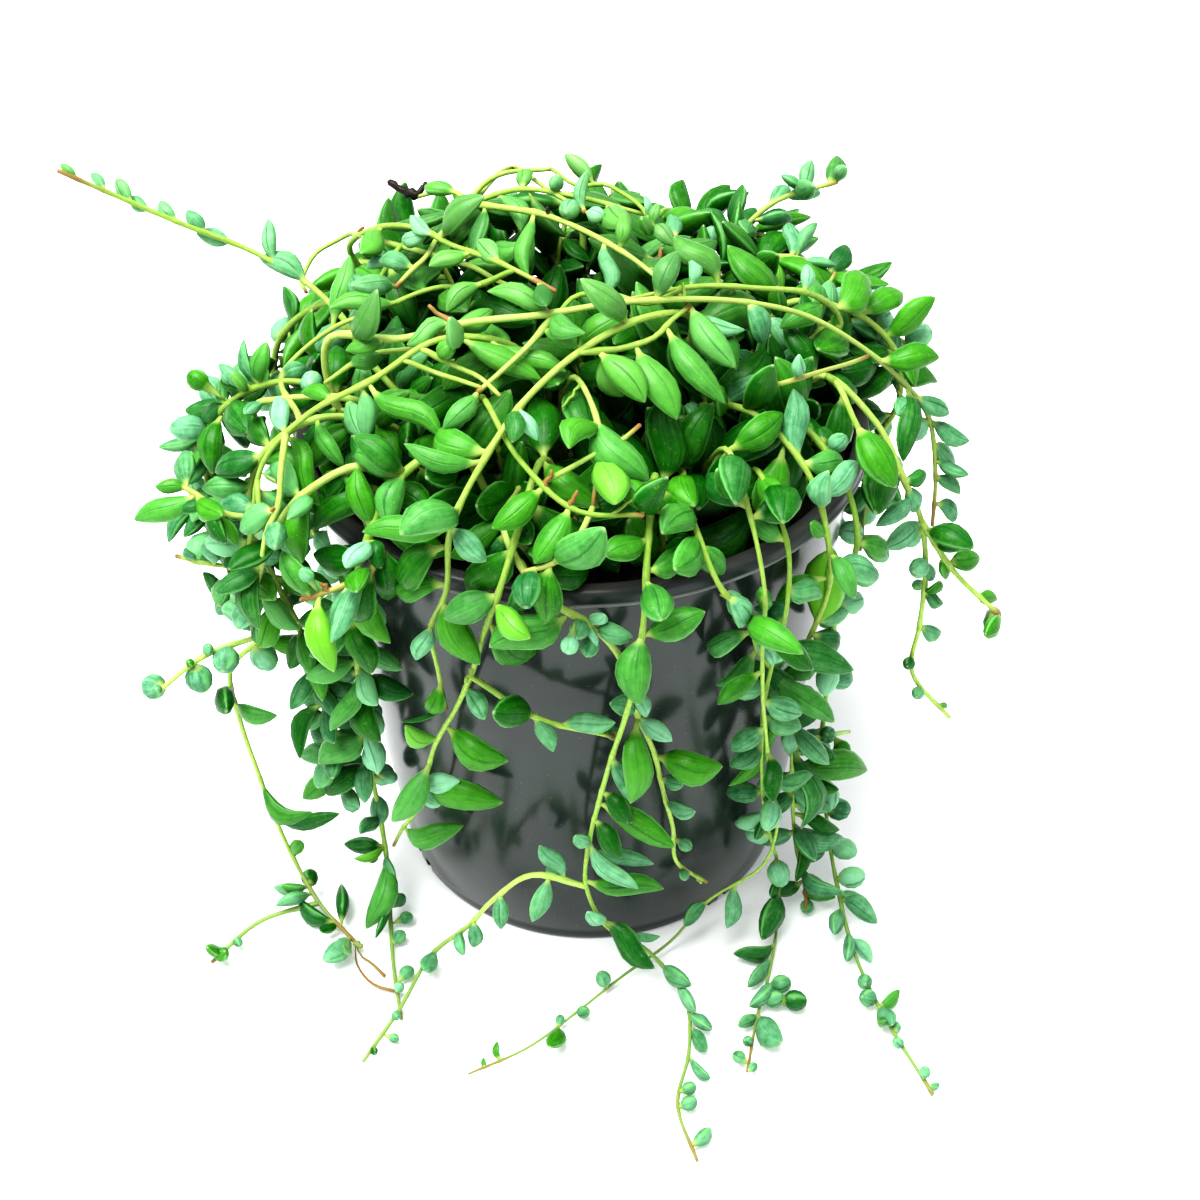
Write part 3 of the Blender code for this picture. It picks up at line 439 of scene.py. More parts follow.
def stem_samples(stems):
    """Return sample places along all the stems, with their ends, shares, radii and groups."""
    starts, ends, shares, radii, groups, rooted = [], [], [], [], [], []
    fractions = (np.arange(SAMPLES_PER_SPAN) + 0.5) / SAMPLES_PER_SPAN
    for stem in stems:
        widths = stem.radii()
        for place in range(len(stem.indices) - 1):
            starts.extend([stem.indices[place]] * SAMPLES_PER_SPAN)
            ends.extend([stem.indices[place + 1]] * SAMPLES_PER_SPAN)
            shares.extend(fractions)
            radii.extend(widths[place] + (widths[place + 1] - widths[place]) * fractions)
            groups.extend([stem.group] * SAMPLES_PER_SPAN)
            rooted.extend([place == 0 and not stem.is_side] * SAMPLES_PER_SPAN)
    return (np.array(starts), np.array(ends), np.array(shares), np.array(radii),
            np.array(groups), np.array(rooted))


def between(points, starts, ends, shares):
    """Return the places at shares of the way from some of the points to others."""
    return points[starts] * (1 - shares)[:, None] + points[ends] * shares[:, None]


def bend_clear(points, held, stems):
    """Push the stems apart, off the pot and off the floor, until none touches another."""
    starts, ends, shares, radii, groups, rooted = stem_samples(stems)
    spacing = STEM_STEP / SAMPLES_PER_SPAN
    other = groups[:, None] != groups[None, :]
    need = radii[:, None] + radii[None, :] + STEM_MARGIN
    need = np.where(other, np.sqrt(need ** 2 + 0.5 * spacing ** 2), 0.0)
    for _ in range(RELAX_ROUNDS):
        places = between(points, starts, ends, shares)
        squares = (places ** 2).sum(1)
        gaps = np.sqrt(np.maximum(squares[:, None] + squares[None, :] - 2 * places @ places.T, 0.0))
        first, second = np.nonzero(gaps < need)
        away = places[first] - places[second]
        away += 1e-3 * np.sin(np.stack((first, second, first + second), axis=1))
        length = np.maximum(np.linalg.norm(away, axis=1), 1e-6)
        push = away * ((need[first, second] - length) / length)[:, None] * 0.5
        shift = np.zeros_like(places)
        np.add.at(shift, first, push)
        distance, outward = pot_distance(places)
        short = np.where(rooted, 0.0, np.maximum(radii + STEM_MARGIN - distance, 0.0))
        shift += outward * short[:, None]
        shift[:, 2] += np.where(rooted, 0.0, np.maximum(radii + FLOOR_MARGIN - places[:, 2], 0.0))
        move = np.zeros_like(points)
        weight = np.zeros(len(points))
        np.add.at(move, starts, shift * (1 - shares)[:, None])
        np.add.at(move, ends, shift * shares[:, None])
        moved = np.linalg.norm(shift, axis=1) > 0
        np.add.at(weight, starts, (1 - shares) * moved)
        np.add.at(weight, ends, shares * moved)
        move /= np.maximum(weight, 0.6)[:, None]
        move[held] = 0.0
        points = points + move
        if len(first) == 0 and short.max() < 0.05:
            break
    return points


def leaf_profile(share):
    """Return a plain leaf's half width at a share of its length, as a part of its greatest."""
    return np.sin(np.pi * np.clip(share, 0.0, 1.0) ** 0.88) ** 0.8


def leaf_balls(base, ways, length, half_width):
    """Return the balls that a leaf takes up, for each of the ways that it may point."""
    centres = base + ways[..., None, :] * (LEAF_STATIONS * length)[:, None]
    return centres, np.maximum(half_width * leaf_profile(LEAF_STATIONS), LEAST_BALL)


class Leaf(NamedTuple):
    """One leaf: its foot on the stem, its way, length, half width, looks and share of bare neck."""

    base: np.ndarray
    way: np.ndarray
    length: float
    half_width: float
    blue: float
    tone: float
    neck: float

    def room(self):
        """Return the balls that the leaf takes up."""
        return leaf_balls(self.base, self.way, self.length, self.half_width)

    def is_bead(self):
        """Say whether the leaf is round enough for a bead's grid."""
        return 2.0 * self.half_width > BEAD_FULLNESS * (1.0 - self.neck) * self.length


class Rule(NamedTuple):
    """How one round of leaves grows: spacing, first places, tilts, the room kept, sizes and seed."""

    gap_share: float
    main_bare: float
    side_bare: float
    tilts: tuple
    margin: float
    own_margin: float
    size: float
    plump: float
    seed: int


PLAIN_ROUND = Rule(1.32, 27.0, 5.0, (58.0, 40.0, 78.0), 0.5, -0.4, 1.0, 1.0, SEED + 100)
CROWN_ROUNDS = (
    Rule(0.70, 14.0, 7.0, (50.0, 30.0, 72.0, 100.0), -0.9, -1.6, 1.18, 1.06, SEED + 300),
    Rule(0.60, 18.0, 9.0, (64.0, 38.0, 88.0, 112.0), -1.3, -2.0, 1.00, 1.06, SEED + 500),
    Rule(0.75, 13.0, 8.0, (84.0, 58.0, 104.0, 124.0), -1.0, -1.7, 0.98, 1.12, SEED + 600),
)
MIDDLE_ROUND = Rule(0.60, 20.0, 8.0, (92.0, 70.0, 112.0, 50.0), -1.4, -2.1, 1.25, 0.95, SEED + 650)
HANGING_ROUNDS = (
    Rule(0.80, 33.0, 9.0, (56.0, 38.0, 74.0, 92.0), -0.4, -1.2, 1.05, 1.12, SEED + 700),
    Rule(0.70, 38.0, 12.0, (70.0, 44.0, 92.0, 30.0), -0.6, -1.4, 0.90, 1.12, SEED + 800),
)
BACK_ROUND = Rule(0.62, 20.0, 9.0, (84.0, 56.0, 104.0, 122.0), -0.9, -1.6, 1.02, 1.06, SEED + 850)
STRAND_ROUND = Rule(0.74, 38.0, 6.0, (60.0, 42.0, 78.0, 96.0), 0.1, -0.7, 0.80, 1.0, SEED + 1100)
MARKED_ROOM = Rule(1.0, 0.0, 0.0, (), -0.9, -1.8, 1.0, 1.0, SEED + 900)


class Taken:
    """The room that is taken: a list of balls along the stems and leaves, with their owners."""

    def __init__(self, centres, sizes, owners):
        self.centres = centres
        self.sizes = sizes
        self.owners = owners
        self.on_stem = np.ones(len(owners), bool)

    def add(self, centres, sizes, owner):
        """Take the room of one leaf."""
        self.centres = np.concatenate((self.centres, centres))
        self.sizes = np.concatenate((self.sizes, sizes))
        self.owners = np.concatenate((self.owners, np.full(len(sizes), owner)))
        self.on_stem = np.concatenate((self.on_stem, np.zeros(len(sizes), bool)))

    def clash(self, base, centres, sizes, reach, owner, rule):
        """Say which of several ways of placing a leaf would meet something."""
        near = np.linalg.norm(self.centres - base, axis=1) < reach + REACH_SPARE
        near &= ~((self.owners == owner) & self.on_stem)
        own = self.owners[near] == owner
        need = sizes[None, :, None] + self.sizes[near] + np.where(own, rule.own_margin, rule.margin)
        gaps = np.linalg.norm(centres[:, :, None, :] - self.centres[near][None, None], axis=-1)
        meets = (gaps < need).any(axis=(1, 2))
        distance, _ = pot_distance(centres)
        meets |= (distance < sizes + max(rule.margin, 0.2)).any(axis=1)
        meets |= (centres[..., 2] < sizes + FLOOR_MARGIN).any(axis=1)
        return meets


def leaf_half_width(length):
    """Return half a leaf's width: long leaves are slim and the shortest are round beads."""
    share = LEAF_SLIMNESS + (BEAD_FROM - length) * BEAD_RATE
    return 0.5 * length * min(max(share, LEAF_SLIMNESS), BEAD_ROUNDNESS)


def side_way(forward):
    """Return a way square to a given one: level, unless that one is nearly upright."""
    upright = (0.0, 0.0, 1.0) if abs(forward[2]) < 0.9 else (1.0, 0.0, 0.0)
    return np.cross(forward, upright)


def leaf_ways(forward, turn, lean, tilts):
    """Return the ways in which a leaf may point, the wanted one first.

    Each way leans from the stem's own direction by a tilt, turned about the stem.
    """
    side = side_way(forward)
    side /= np.linalg.norm(side)
    over = np.cross(side, forward)
    steps = sorted(range(LEAF_TURNS), key=lambda step: min(step, LEAF_TURNS - step))
    angles = np.radians(turn + 360.0 * np.array(steps) / LEAF_TURNS)
    around = np.cos(angles)[:, None] * side + np.sin(angles)[:, None] * over
    tilts = np.radians(np.array(tilts) + lean)[:, None, None]
    return (np.cos(tilts) * forward + np.sin(tilts) * around[None]).reshape(-1, 3)


def stem_room(points, stems):
    """Return the room that the bare stems take."""
    starts, ends, shares, radii, groups, _ = stem_samples(stems)
    return Taken(between(points, starts, ends, shares), radii, groups)


def inside_box(tips, spare):
    """Say which places lie within the plain model's box, with some room to spare."""
    return ((tips > BOX_LOW + spare) & (tips < BOX_HIGH - spare)).all(axis=-1)


# A stem with a smaller radius than this is a bare thread
BARE_THREAD = 0.4
# Leaves that fill the far left side, beyond this X, are smaller
SMALL_SIDE = -48.0
SMALL_SHARE = 0.86
# A leaf turns blue green as its length falls below the first, over the second
BLUE_BELOW = 13.5
BLUE_RANGE = 5.0
# Leaves are painted darker, as shade, down to this depth below the crown's dome, and keep this far below
# its surface
SHADE_DEPTH = 30.0
CROWN_SINK = 2.0
CROWN_EDGE = 4.0
MIDDLE_REACH = 42.0
# The crown leaves the soil and the rim in view between these azimuths, beyond this radius
BARE_RIM_AZIMUTHS = (-98.0, 6.0)
BARE_RIM_REACH = 65.5
# The back of the plant starts at this Y
BACK_FROM = 12.0
# Strands at the left with more leaves, and the X and Z of the left side that has more too
DENSE_STEMS = ("left_bend", "left_hang", "left_dense")
DENSE_SIDE = (-52.0, 88.0)
# Hanging leaves reach this far above the rim, small ones on the strands a little less
HANGING_RISE = 18.0
STRAND_RISE = 4.0
# Far out at the front left, beyond this radius, the stems show
STEMS_SHOW_FROM = 84.0
# Strands with small leaves between the marked ones, and the height that these leaves keep above
FILLED_ABOVE = {
    "right_front": 8.0, "right_inner": 20.0, "right_trail": 6.0, "right_floor": 45.0, "left_front": 12.0,
    "left_dense": 40.0, "right_rim": 90.0,
}
# The part of the wall that stays in view: two azimuths and the height that it starts at
BARE_WALL = (-98.0, -62.0, 62.0)

# The photograph's view, in millimetres, degrees and pixels
PHOTO_SIDE = 1200
SENSOR = 36.0
LENS = 51.0
VIEW_AIM = np.array((3.5, 0.0, 75.0))
VIEW_DISTANCE = 455.0
VIEW_ELEVATION = 39.7
VIEW_ROLL = 1.15
PIXELS = PHOTO_SIDE * LENS / SENSOR


def view_ways():
    """Return the camera's ways back, right and up. The last two are turned by its roll."""
    tilt, roll = math.radians(VIEW_ELEVATION), math.radians(VIEW_ROLL)
    back = np.array((0.0, -math.cos(tilt), math.sin(tilt)))
    level = np.array((1.0, 0.0, 0.0))
    upright = np.cross(back, level)
    right = math.cos(roll) * level - math.sin(roll) * upright
    up = math.sin(roll) * level + math.cos(roll) * upright
    return back, right, up


VIEW_BACK, VIEW_RIGHT, VIEW_UP = view_ways()
VIEW_PLACE = VIEW_AIM + VIEW_DISTANCE * VIEW_BACK
UPWARD = np.array((0.0, 0.0, 1.0))
FLOOR_ZONE = 9.0


def seen_at(places):
    """Return the pixels of the photograph at which places are seen, and their depths."""
    offset = places - VIEW_PLACE
    depth = -(offset @ VIEW_BACK)
    x = 0.5 * PHOTO_SIDE + PIXELS * (offset @ VIEW_RIGHT) / depth
    y = 0.5 * PHOTO_SIDE - PIXELS * (offset @ VIEW_UP) / depth
    return np.stack((x, y), -1), depth


def sight(pixel):
    """Return the way from the camera through a pixel, for each millimetre of depth."""
    across = (pixel[0] - 0.5 * PHOTO_SIDE) / PIXELS
    above = (0.5 * PHOTO_SIDE - pixel[1]) / PIXELS
    return across * VIEW_RIGHT + above * VIEW_UP - VIEW_BACK


def at_depth(pixel, depth):
    """Return the place, or places, at a depth along a pixel's line of sight."""
    return VIEW_PLACE + depth * sight(pixel)


def depth_of(place):
    """Return how far in front of the camera a place lies."""
    return (VIEW_PLACE - place) @ VIEW_BACK


def plane_depth(pixel, place, normal):
    """Return the depth at which a pixel's line of sight meets the plane through a place."""
    return ((place - VIEW_PLACE) @ normal) / (sight(pixel) @ normal)


def outward_at(place):
    """Return the way out of the plant: up on the floor, level by the wall, off the dome above."""
    if place[2] < FLOOR_ZONE:
        return UPWARD
    if place[2] < POT_HEIGHT:
        return unit(place * (1.0, 1.0, 0.0))
    return unit(place * (1.0, 1.0, 0.0) / CROWN_RADIUS ** 2
                + np.array((0.0, 0.0, (place[2] - SOIL_TOP) / CROWN_HEIGHT ** 2)))


def facing_viewer(place, weights):
    """Return a way between the way out of the plant at a place and the way to the viewer."""
    return unit(weights[0] * outward_at(place) + weights[1] * unit(VIEW_PLACE - place))


def meet_crown(pixel, lift):
    """Return where a pixel's line of sight first meets the crown's dome, or passes nearest to it."""
    depths = np.linspace(250.0, 600.0, 701)
    places = at_depth(pixel, depths[:, None])
    spread = (places[:, 0] ** 2 + places[:, 1] ** 2) / (CROWN_RADIUS + lift) ** 2
    beyond = spread + ((places[:, 2] - SOIL_TOP) / (CROWN_HEIGHT + lift)) ** 2 - 1.0
    inside = beyond < 0.0
    return places[np.argmax(inside) if inside.any() else np.argmin(beyond)]


# How a marked leaf is placed: the steps tried along its line of sight, and what a choice costs
SIGHT_STEPS = np.array((0, -2, 2, -4, 4, -6, 6, -8, -10, -12, -15, 8, 11), float)
STEP_COST = 0.35
CLASH_COST = 12.0
SUNK_COST = 30.0
OUTSIDE_COST = 60.0
STAND_COST = 3.0
SHORT_COST = 2.0
LENGTH_COST = 0.25
DEPTH_COST = 0.25
# The share of its foot's shift that a leaf's tip follows, and how wide it is for its width in pixels
TIP_FOLLOWS = 0.6
NARROW, NARROW_HALF, WIDE_HALF = 20, 0.61, 0.565
GREATEST_FULLNESS = 0.52
BEAD_STAND = 0.9
TINT_SPREAD = 0.14
# Weights of the way out of the plant and the way to the viewer, and the lift off the foot's plane
LEAF_FACING, LEAF_LIFT = (0.55, 0.85), 1.5
STUB_FACING, STUB_LIFT = (0.5, 0.85), 1.2
RUNNER_FACING, RUNNER_LIFT = (0.4, 1.0), 1.5
RUNNER_SPARE = 1.5
RUNNER_LEAVES = (14, 12, 30)
PATH_STEP = 2.2
# Marks of the crown go to stems that reach this far above the rim and aren't far behind the middle
CROWN_RISE = 15.0
FRONT_DEPTH = 45.0

# Thin stems that lie over the crown, beside the main ones: the stem that each one leaves, its
# radius, how dry it is, its height over the dome, and its course in pixels of the photograph.
RUNNERS = (
    ("top_left", 1.0, 0.0, 1.5, ((357, 231), (400, 246), (440, 257), (475, 268), (500, 282), (540, 296))),
    ("top_left", 0.9, 0.1, 1.0, ((357, 231), (338, 240), (315, 254), (303, 276), (306, 292))),
    ("top_hub", 1.1, 0.0, 2.5, (
        (474, 204), (505, 208), (541, 214), (569, 224), (602, 240), (632, 258), (660, 280), (688, 302))),
    ("top_hub", 0.8, 0.3, 4.5, ((470, 200), (492, 180), (513, 167), (532, 178), (552, 192), (585, 212))),
    ("top_hub", 1.0, 0.1, 2.5, ((474, 206), (455, 221), (436, 240), (425, 258), (410, 272), (396, 287))),
    ("hub_up", 0.6, 0.0, 5.0, ((560, 198), (580, 186), (602, 184), (622, 193), (642, 208), (652, 226))),
    ("top_left", 0.9, 0.0, 1.5, ((492, 295), (468, 287), (440, 287), (415, 294), (393, 304), (372, 312))),
    ("arc_right", 1.0, 0.0, 1.5, ((690, 306), (650, 303), (604, 293), (576, 296), (557, 316), (545, 330))),
    ("arc_front", 1.0, 0.0, 2.5, ((588, 362), (624, 348), (655, 337), (672, 320), (690, 306))),
    ("arc_over", 1.0, 0.0, 2.0, ((555, 322), (531, 343), (505, 368), (478, 392))),
    ("arc_over", 0.9, 0.0, 2.0, ((455, 326), (420, 346), (366, 356), (325, 383))),
    ("arc_left", 0.9, 0.2, 2.0, ((404, 362), (436, 373), (462, 381), (482, 388))),
    ("arc_left", 0.9, 0.0, 2.0, ((427, 352), (457, 367), (479, 377), (500, 396))),
    ("arc_left", 1.0, 0.0, 0.5, ((262, 388), (290, 363), (318, 338), (345, 322), (380, 312))),
    ("arc_middle", 1.0, 0.1, 2.5, ((548, 478), (570, 468), (597, 453), (622, 440), (640, 425))),
    ("arc_middle", 0.9, 0.2, 1.5, ((592, 515), (580, 534), (563, 557), (546, 566), (522, 572))),
    ("arc_left", 1.1, 0.0, None, ((284, 440), (281, 470), (277, 510), (266, 533), (262, 556))),
    ("arc_left", 0.9, 0.0, None, ((264, 480), (259, 505), (265, 531))),
    ("arc_left", 0.9, 0.1, None, ((249, 523), (220, 512), (196, 494), (178, 484))),
    ("arc_left", 0.6, 0.1, None, ((244, 568), (204, 563), (176, 556))),
    ("left_front", 1.0, 0.3, None, ((379, 550), (371, 572), (352, 582), (332, 590), (310, 598))),
    ("right_tip", 0.8, 0.35, 1.5, ((757, 387), (790, 381), (822, 371), (850, 363), (868, 356))),
    ("right_hang", 1.2, 0.0, 2.0, ((822, 366), (843, 394), (856, 424), (872, 452))),
    ("left_trail", 0.19, 0.7, None, ((352, 944), (356, 960), (363, 977), (377, 989), (396, 994))),
    ("left_trail", 0.16, 0.6, None, ((352, 944), (360, 957), (372, 966), (385, 979))),
    ("top_hub", 0.8, 0.15, 4.5, ((474, 204), (462, 196), (448, 192), (432, 193), (417, 197))),
)

# Looks of marked leaves, bright green, deep, lime, blue green and pale blue green: how blue green
# each is, and its tone from deep to bright
G, D, L, B, P = (0.05, 0.72), (0.08, 0.12), (0.0, 1.30), (0.72, 0.42), (1.0, 0.72)

# Leaves that the photograph shows, under the stems that may carry them: foot, tip and width in its
# pixels, or a bead's middle and radius, and the looks
MARKED_LEAVES = (
    (("front_bead",), (
        (571, 622, 490, 653, 36, G), (592, 624, 606, 614, 13, P), (603, 630, 637, 637, 20, B),
        (622, 653, 643, 672, 15, P), (631, 696, 646, 720, 14, P), (654, 716, 682, 741, 17, P),
        (636, 718, 629, 805, 28, G), (650, 760, 720, 769, 31, G), (672, 804, 699, 812, 16, B),
        (579, 654, 590, 665, 7, P), (630, 715, 606, 706, 20, B), (580, 628, 10, B),
        (570, 645, 9.5, P), (590, 647, 9.7, B), (674, 782, 9, B), (685, 845, 7, B),
        (684, 875, 5.5, B))),
    (("front_trail",), (
        (626, 582, 649, 622, 30, G), (638, 634, 703, 611, 28, G), (651, 642, 643, 710, 33, G),
        (605, 796, 634, 826, 20, D), (603, 810, 678, 852, 28, G), (644, 780, 647, 815, 16, B),
        (605, 830, 628, 865, 20, D), (592, 844, 640, 891, 21, B), (629, 870, 679, 875, 17, B),
        (590, 884, 667, 891, 21, G), (631, 908, 605, 904, 15, P), (605, 921, 657, 969, 24, D),
        (645, 924, 672, 928, 9, B), (672, 949, 698, 976, 18, B), (677, 978, 695, 1009, 16, B),
        (695, 1006, 715, 1025, 16, B), (689, 1027, 706, 1051, 13, B),
        (689, 1053, 711, 1079, 12, B), (688, 1148, 709, 1130, 15, B), (689, 1088, 7, B),
        (689, 1103, 8, B), (577, 850, 568, 838, 14, B))),
    (("front_twig", "front_left"), (
        (566, 718, 619, 718, 20, B), (540, 716, 496, 712, 30, D), (534, 730, 553, 760, 16, B),
        (614, 736, 7.7, B), (494, 605, 530, 640, 24, L), (455, 742, 514, 771, 32, G),
        (450, 812, 520, 814, 31, G), (478, 700, 492, 727, 18, B), (408, 838, 467, 832, 22, G),
        (435, 738, 403, 725, 17, L), (433, 798, 10, P), (449, 800, 475, 790, 18, P),
        (424, 765, 388, 824, 25, G), (485, 592, 436, 617, 30, G))),
    (("arc_front",), (
        (430, 625, 415, 660, 17, B), (437, 684, 428, 714, 18, G), (450, 708, 404, 722, 4, D))),
    (("floor_left",), (
        (579, 863, 548, 835, 16, B), (576, 863, 553, 858, 12, B), (549, 871, 532, 919, 18, B),
        (502, 898, 502, 932, 14, B), (470, 921, 471, 948, 13, B), (460, 940, 463, 961, 14, B),
        (434, 957, 426, 976, 15, B), (396, 1015, 5, B), (394, 1038, 5, B), (374, 1051, 4, D))),
    (("right_floor",), (
        (702, 904, 681, 928, 15, B), (744, 890, 732, 932, 17, B), (639, 958, 7, B),
        (603, 979, 8, B), (582, 1012, 6.5, B), (556, 1022, 548, 1044, 16, G),
        (500, 1062, 497, 1042, 8, G), (484, 1068, 483, 1058, 5, G), (560, 1020, 5, B))),
    (("right_front", "right_twig"), (
        (727, 602, 741, 631, 24, B), (784, 612, 749, 587, 17, B), (749, 616, 805, 656, 26, G),
        (786, 656, 867, 668, 29, D), (798, 668, 850, 721, 24, G), (749, 646, 770, 670, 12, P),
        (773, 724, 736, 665, 30, D), (794, 726, 832, 768, 18, B), (784, 730, 786, 758, 17, P),
        (780, 722, 723, 790, 20, G), (796, 772, 870, 774, 30, G), (796, 752, 838, 758, 18, D),
        (779, 748, 793, 832, 25, D), (792, 785, 822, 810, 17, B), (800, 790, 844, 793, 14, D),
        (802, 820, 845, 834, 14, D), (800, 807, 836, 813, 14, B), (820, 834, 861, 846, 21, B),
        (808, 830, 824, 865, 19, B), (788, 840, 792, 886, 14, D), (802, 870, 836, 897, 20, G),
        (826, 865, 860, 893, 18, B), (775, 653, 11, P), (784, 694, 9.6, P), (805, 693, 9, B),
        (807, 906, 7, B), (828, 735, 8.8, B), (842, 749, 9, G))),
    (("right_inner",), (
        (759, 798, 776, 810, 10, D), (786, 831, 766, 843, 14, D), (775, 881, 768, 895, 11, D),
        (784, 889, 765, 940, 26, D), (765, 937, 727, 950, 17, D), (767, 954, 744, 986, 14, B),
        (767, 982, 749, 1006, 18, B), (746, 1001, 731, 1018, 12, B), (806, 999, 819, 996, 9, B),
        (783, 1012, 797, 1041, 24, B), (781, 984, 9.5, B), (774, 999, 9.5, B),
        (795, 1001, 11, D), (750, 1042, 5.5, B), (739, 1057, 6.5, B), (753, 1067, 4.7, B))),
    (("right_trail",), (
        (844, 894, 880, 920, 18, B), (845, 890, 873, 907, 14, B), (831, 903, 828, 932, 17, B),
        (850, 924, 848, 958, 16, B), (856, 935, 876, 961, 14, P), (872, 1008, 889, 1027, 15, B),
        (866, 1007, 870, 1023, 9, G), (880, 997, 901, 985, 12, G), (929, 1086, 940, 1084, 7, B),
        (865, 981, 8, B), (870, 998, 9, B), (895, 1027, 6, B), (900, 1044, 6, B),
        (925, 1072, 6, B))),
    (("right_rim",), (
        (783, 624, 815, 545, 38, L), (828, 569, 876, 580, 26, B), (815, 620, 847, 611, 21, B),
        (815, 545, 803, 529, 13, G), (812, 512, 823, 473, 22, B), (829, 500, 864, 463, 24, B))),
    (("arc_over",), (
        (915, 400, 949, 417, 18, B), (930, 420, 970, 441, 18, B), (931, 443, 953, 463, 20, B),
        (940, 463, 972, 477, 16, B), (938, 474, 962, 493, 14, B), (936, 503, 957, 517, 16, B),
        (912, 403, 895, 420, 20, B), (875, 378, 937, 368, 26, G), (889, 412, 893, 478, 24, D))),
    (("right_hang", "right_spur"), (
        (893, 495, 920, 483, 14, D), (858, 432, 897, 492, 33, G), (885, 490, 866, 525, 34, D),
        (892, 503, 906, 521, 19, B), (890, 522, 862, 541, 17, B), (903, 525, 874, 550, 22, B),
        (911, 537, 10.5, P), (919, 568, 10.5, P), (918, 585, 6, B), (925, 562, 934, 577, 12, B),
        (936, 562, 942, 583, 14, G), (934, 540, 963, 527, 17, B), (948, 526, 987, 547, 26, D),
        (940, 545, 966, 550, 13, D), (950, 565, 981, 558, 19, G), (932, 595, 948, 606, 12, B),
        (938, 598, 948, 585, 12, G), (926, 628, 945, 634, 14, B), (909, 663, 6.5, D),
        (918, 693, 6.5, B), (927, 710, 941, 710, 5, G), (980, 592, 998, 597, 13, G),
        (990, 606, 1026, 615, 28, G), (998, 620, 984, 637, 18, G))),
    (("upper_left",), (
        (77, 183, 61, 166, 9, G), (103, 187, 90, 171, 10, B), (132, 196, 116, 175, 14, B),
        (148, 208, 127, 196, 12, B), (183, 219, 163, 199, 13, B), (207, 231, 188, 209, 13, B),
        (232, 246, 196, 235, 15, B), (277, 258, 269, 215, 14, B), (304, 285, 257, 258, 22, B))),
    (("left_bend", "left_hang", "left_dense", "arc_left", "arc_over"), (
        (225, 355, 201, 344, 12, B), (222, 340, 221, 311, 13, B), (237, 357, 253, 324, 19, G),
        (198, 380, 11, G), (215, 400, 208, 381, 15, G), (212, 402, 194, 414, 17, D),
        (245, 392, 225, 368, 17, D), (250, 378, 240, 353, 15, B), (248, 400, 233, 378, 14, L),
        (215, 398, 240, 430, 32, D), (262, 400, 243, 413, 13, B), (205, 437, 186, 475, 14, G),
        (214, 478, 193, 455, 20, B), (252, 447, 208, 468, 28, D), (182, 493, 152, 489, 13, G),
        (177, 514, 122, 532, 24, G), (205, 504, 177, 513, 13, D), (205, 506, 222, 543, 20, D),
        (195, 482, 222, 508, 22, G), (222, 520, 237, 550, 15, G), (190, 560, 182, 547, 8, B),
        (214, 562, 202, 543, 12, B), (283, 433, 275, 396, 18, P), (237, 598, 203, 572, 15, D),
        (268, 588, 244, 572, 24, B), (239, 598, 11, B), (247, 619, 12, B),
        (230, 603, 213, 616, 15, B), (238, 622, 217, 628, 14, B), (281, 393, 283, 432, 18, B),
        (312, 383, 12, P), (287, 374, 11, B), (361, 287, 13, B), (229, 377, 8, B))),
    (("left_hang", "left_dense", "left_trail"), (
        (265, 643, 258, 628, 20, D), (290, 640, 283, 674, 19, D), (272, 674, 340, 682, 22, G),
        (235, 690, 229, 713, 26, D), (244, 704, 283, 716, 17, G), (276, 781, 322, 812, 19, G),
        (275, 817, 340, 813, 15, D), (293, 858, 302, 842, 13, G), (310, 878, 9, D),
        (344, 911, 343, 874, 18, D), (333, 920, 296, 897, 19, D), (297, 885, 274, 884, 13, G),
        (280, 889, 256, 889, 13, B), (292, 897, 263, 908, 16, B), (332, 926, 319, 934, 10, D),
        (350, 930, 323, 957, 22, B), (348, 935, 338, 959, 12, B), (354, 925, 345, 938, 10, G))),
    (("left_side",), ((238, 942, 5, B), (232, 955, 212, 950, 14, G), (220, 955, 8, G))),
    (("left_twig",), ((208, 649, 6, B), (190, 663, 4.5, G), (157, 690, 5.5, B))),
    (("left_front", "left_dense"), (
        (318, 602, 333, 677, 27, L), (345, 598, 335, 642, 19, B), (355, 675, 328, 733, 21, G),
        (325, 706, 301, 761, 19, D), (365, 733, 318, 764, 27, G), (362, 768, 322, 799, 24, D),
        (345, 800, 362, 816, 20, B), (373, 762, 367, 806, 19, B), (372, 836, 370, 800, 17, B),
        (364, 828, 350, 842, 13, B), (373, 690, 388, 745, 27, D), (381, 688, 427, 698, 22, D),
        (399, 738, 398, 781, 19, P), (390, 777, 7, P), (373, 628, 383, 680, 28, D),
        (362, 858, 330, 851, 17, D), (362, 862, 340, 868, 10, L), (386, 858, 366, 932, 23, G),
        (368, 905, 362, 937, 9, D), (395, 855, 401, 880, 12, B), (399, 900, 7, B),
        (406, 918, 6.5, B), (399, 937, 7, B), (407, 973, 7.5, B), (399, 987, 5.5, P),
        (373, 858, 5, D), (432, 566, 389, 620, 34, D), (432, 556, 392, 585, 24, G),
        (370, 579, 333, 645, 20, B), (302, 593, 277, 548, 25, G), (306, 575, 8, B),
        (288, 534, 11, P), (315, 525, 314, 560, 21, P), (335, 525, 362, 560, 16, D),
        (294, 492, 8, D), (283, 445, 321, 512, 19, G))),
)

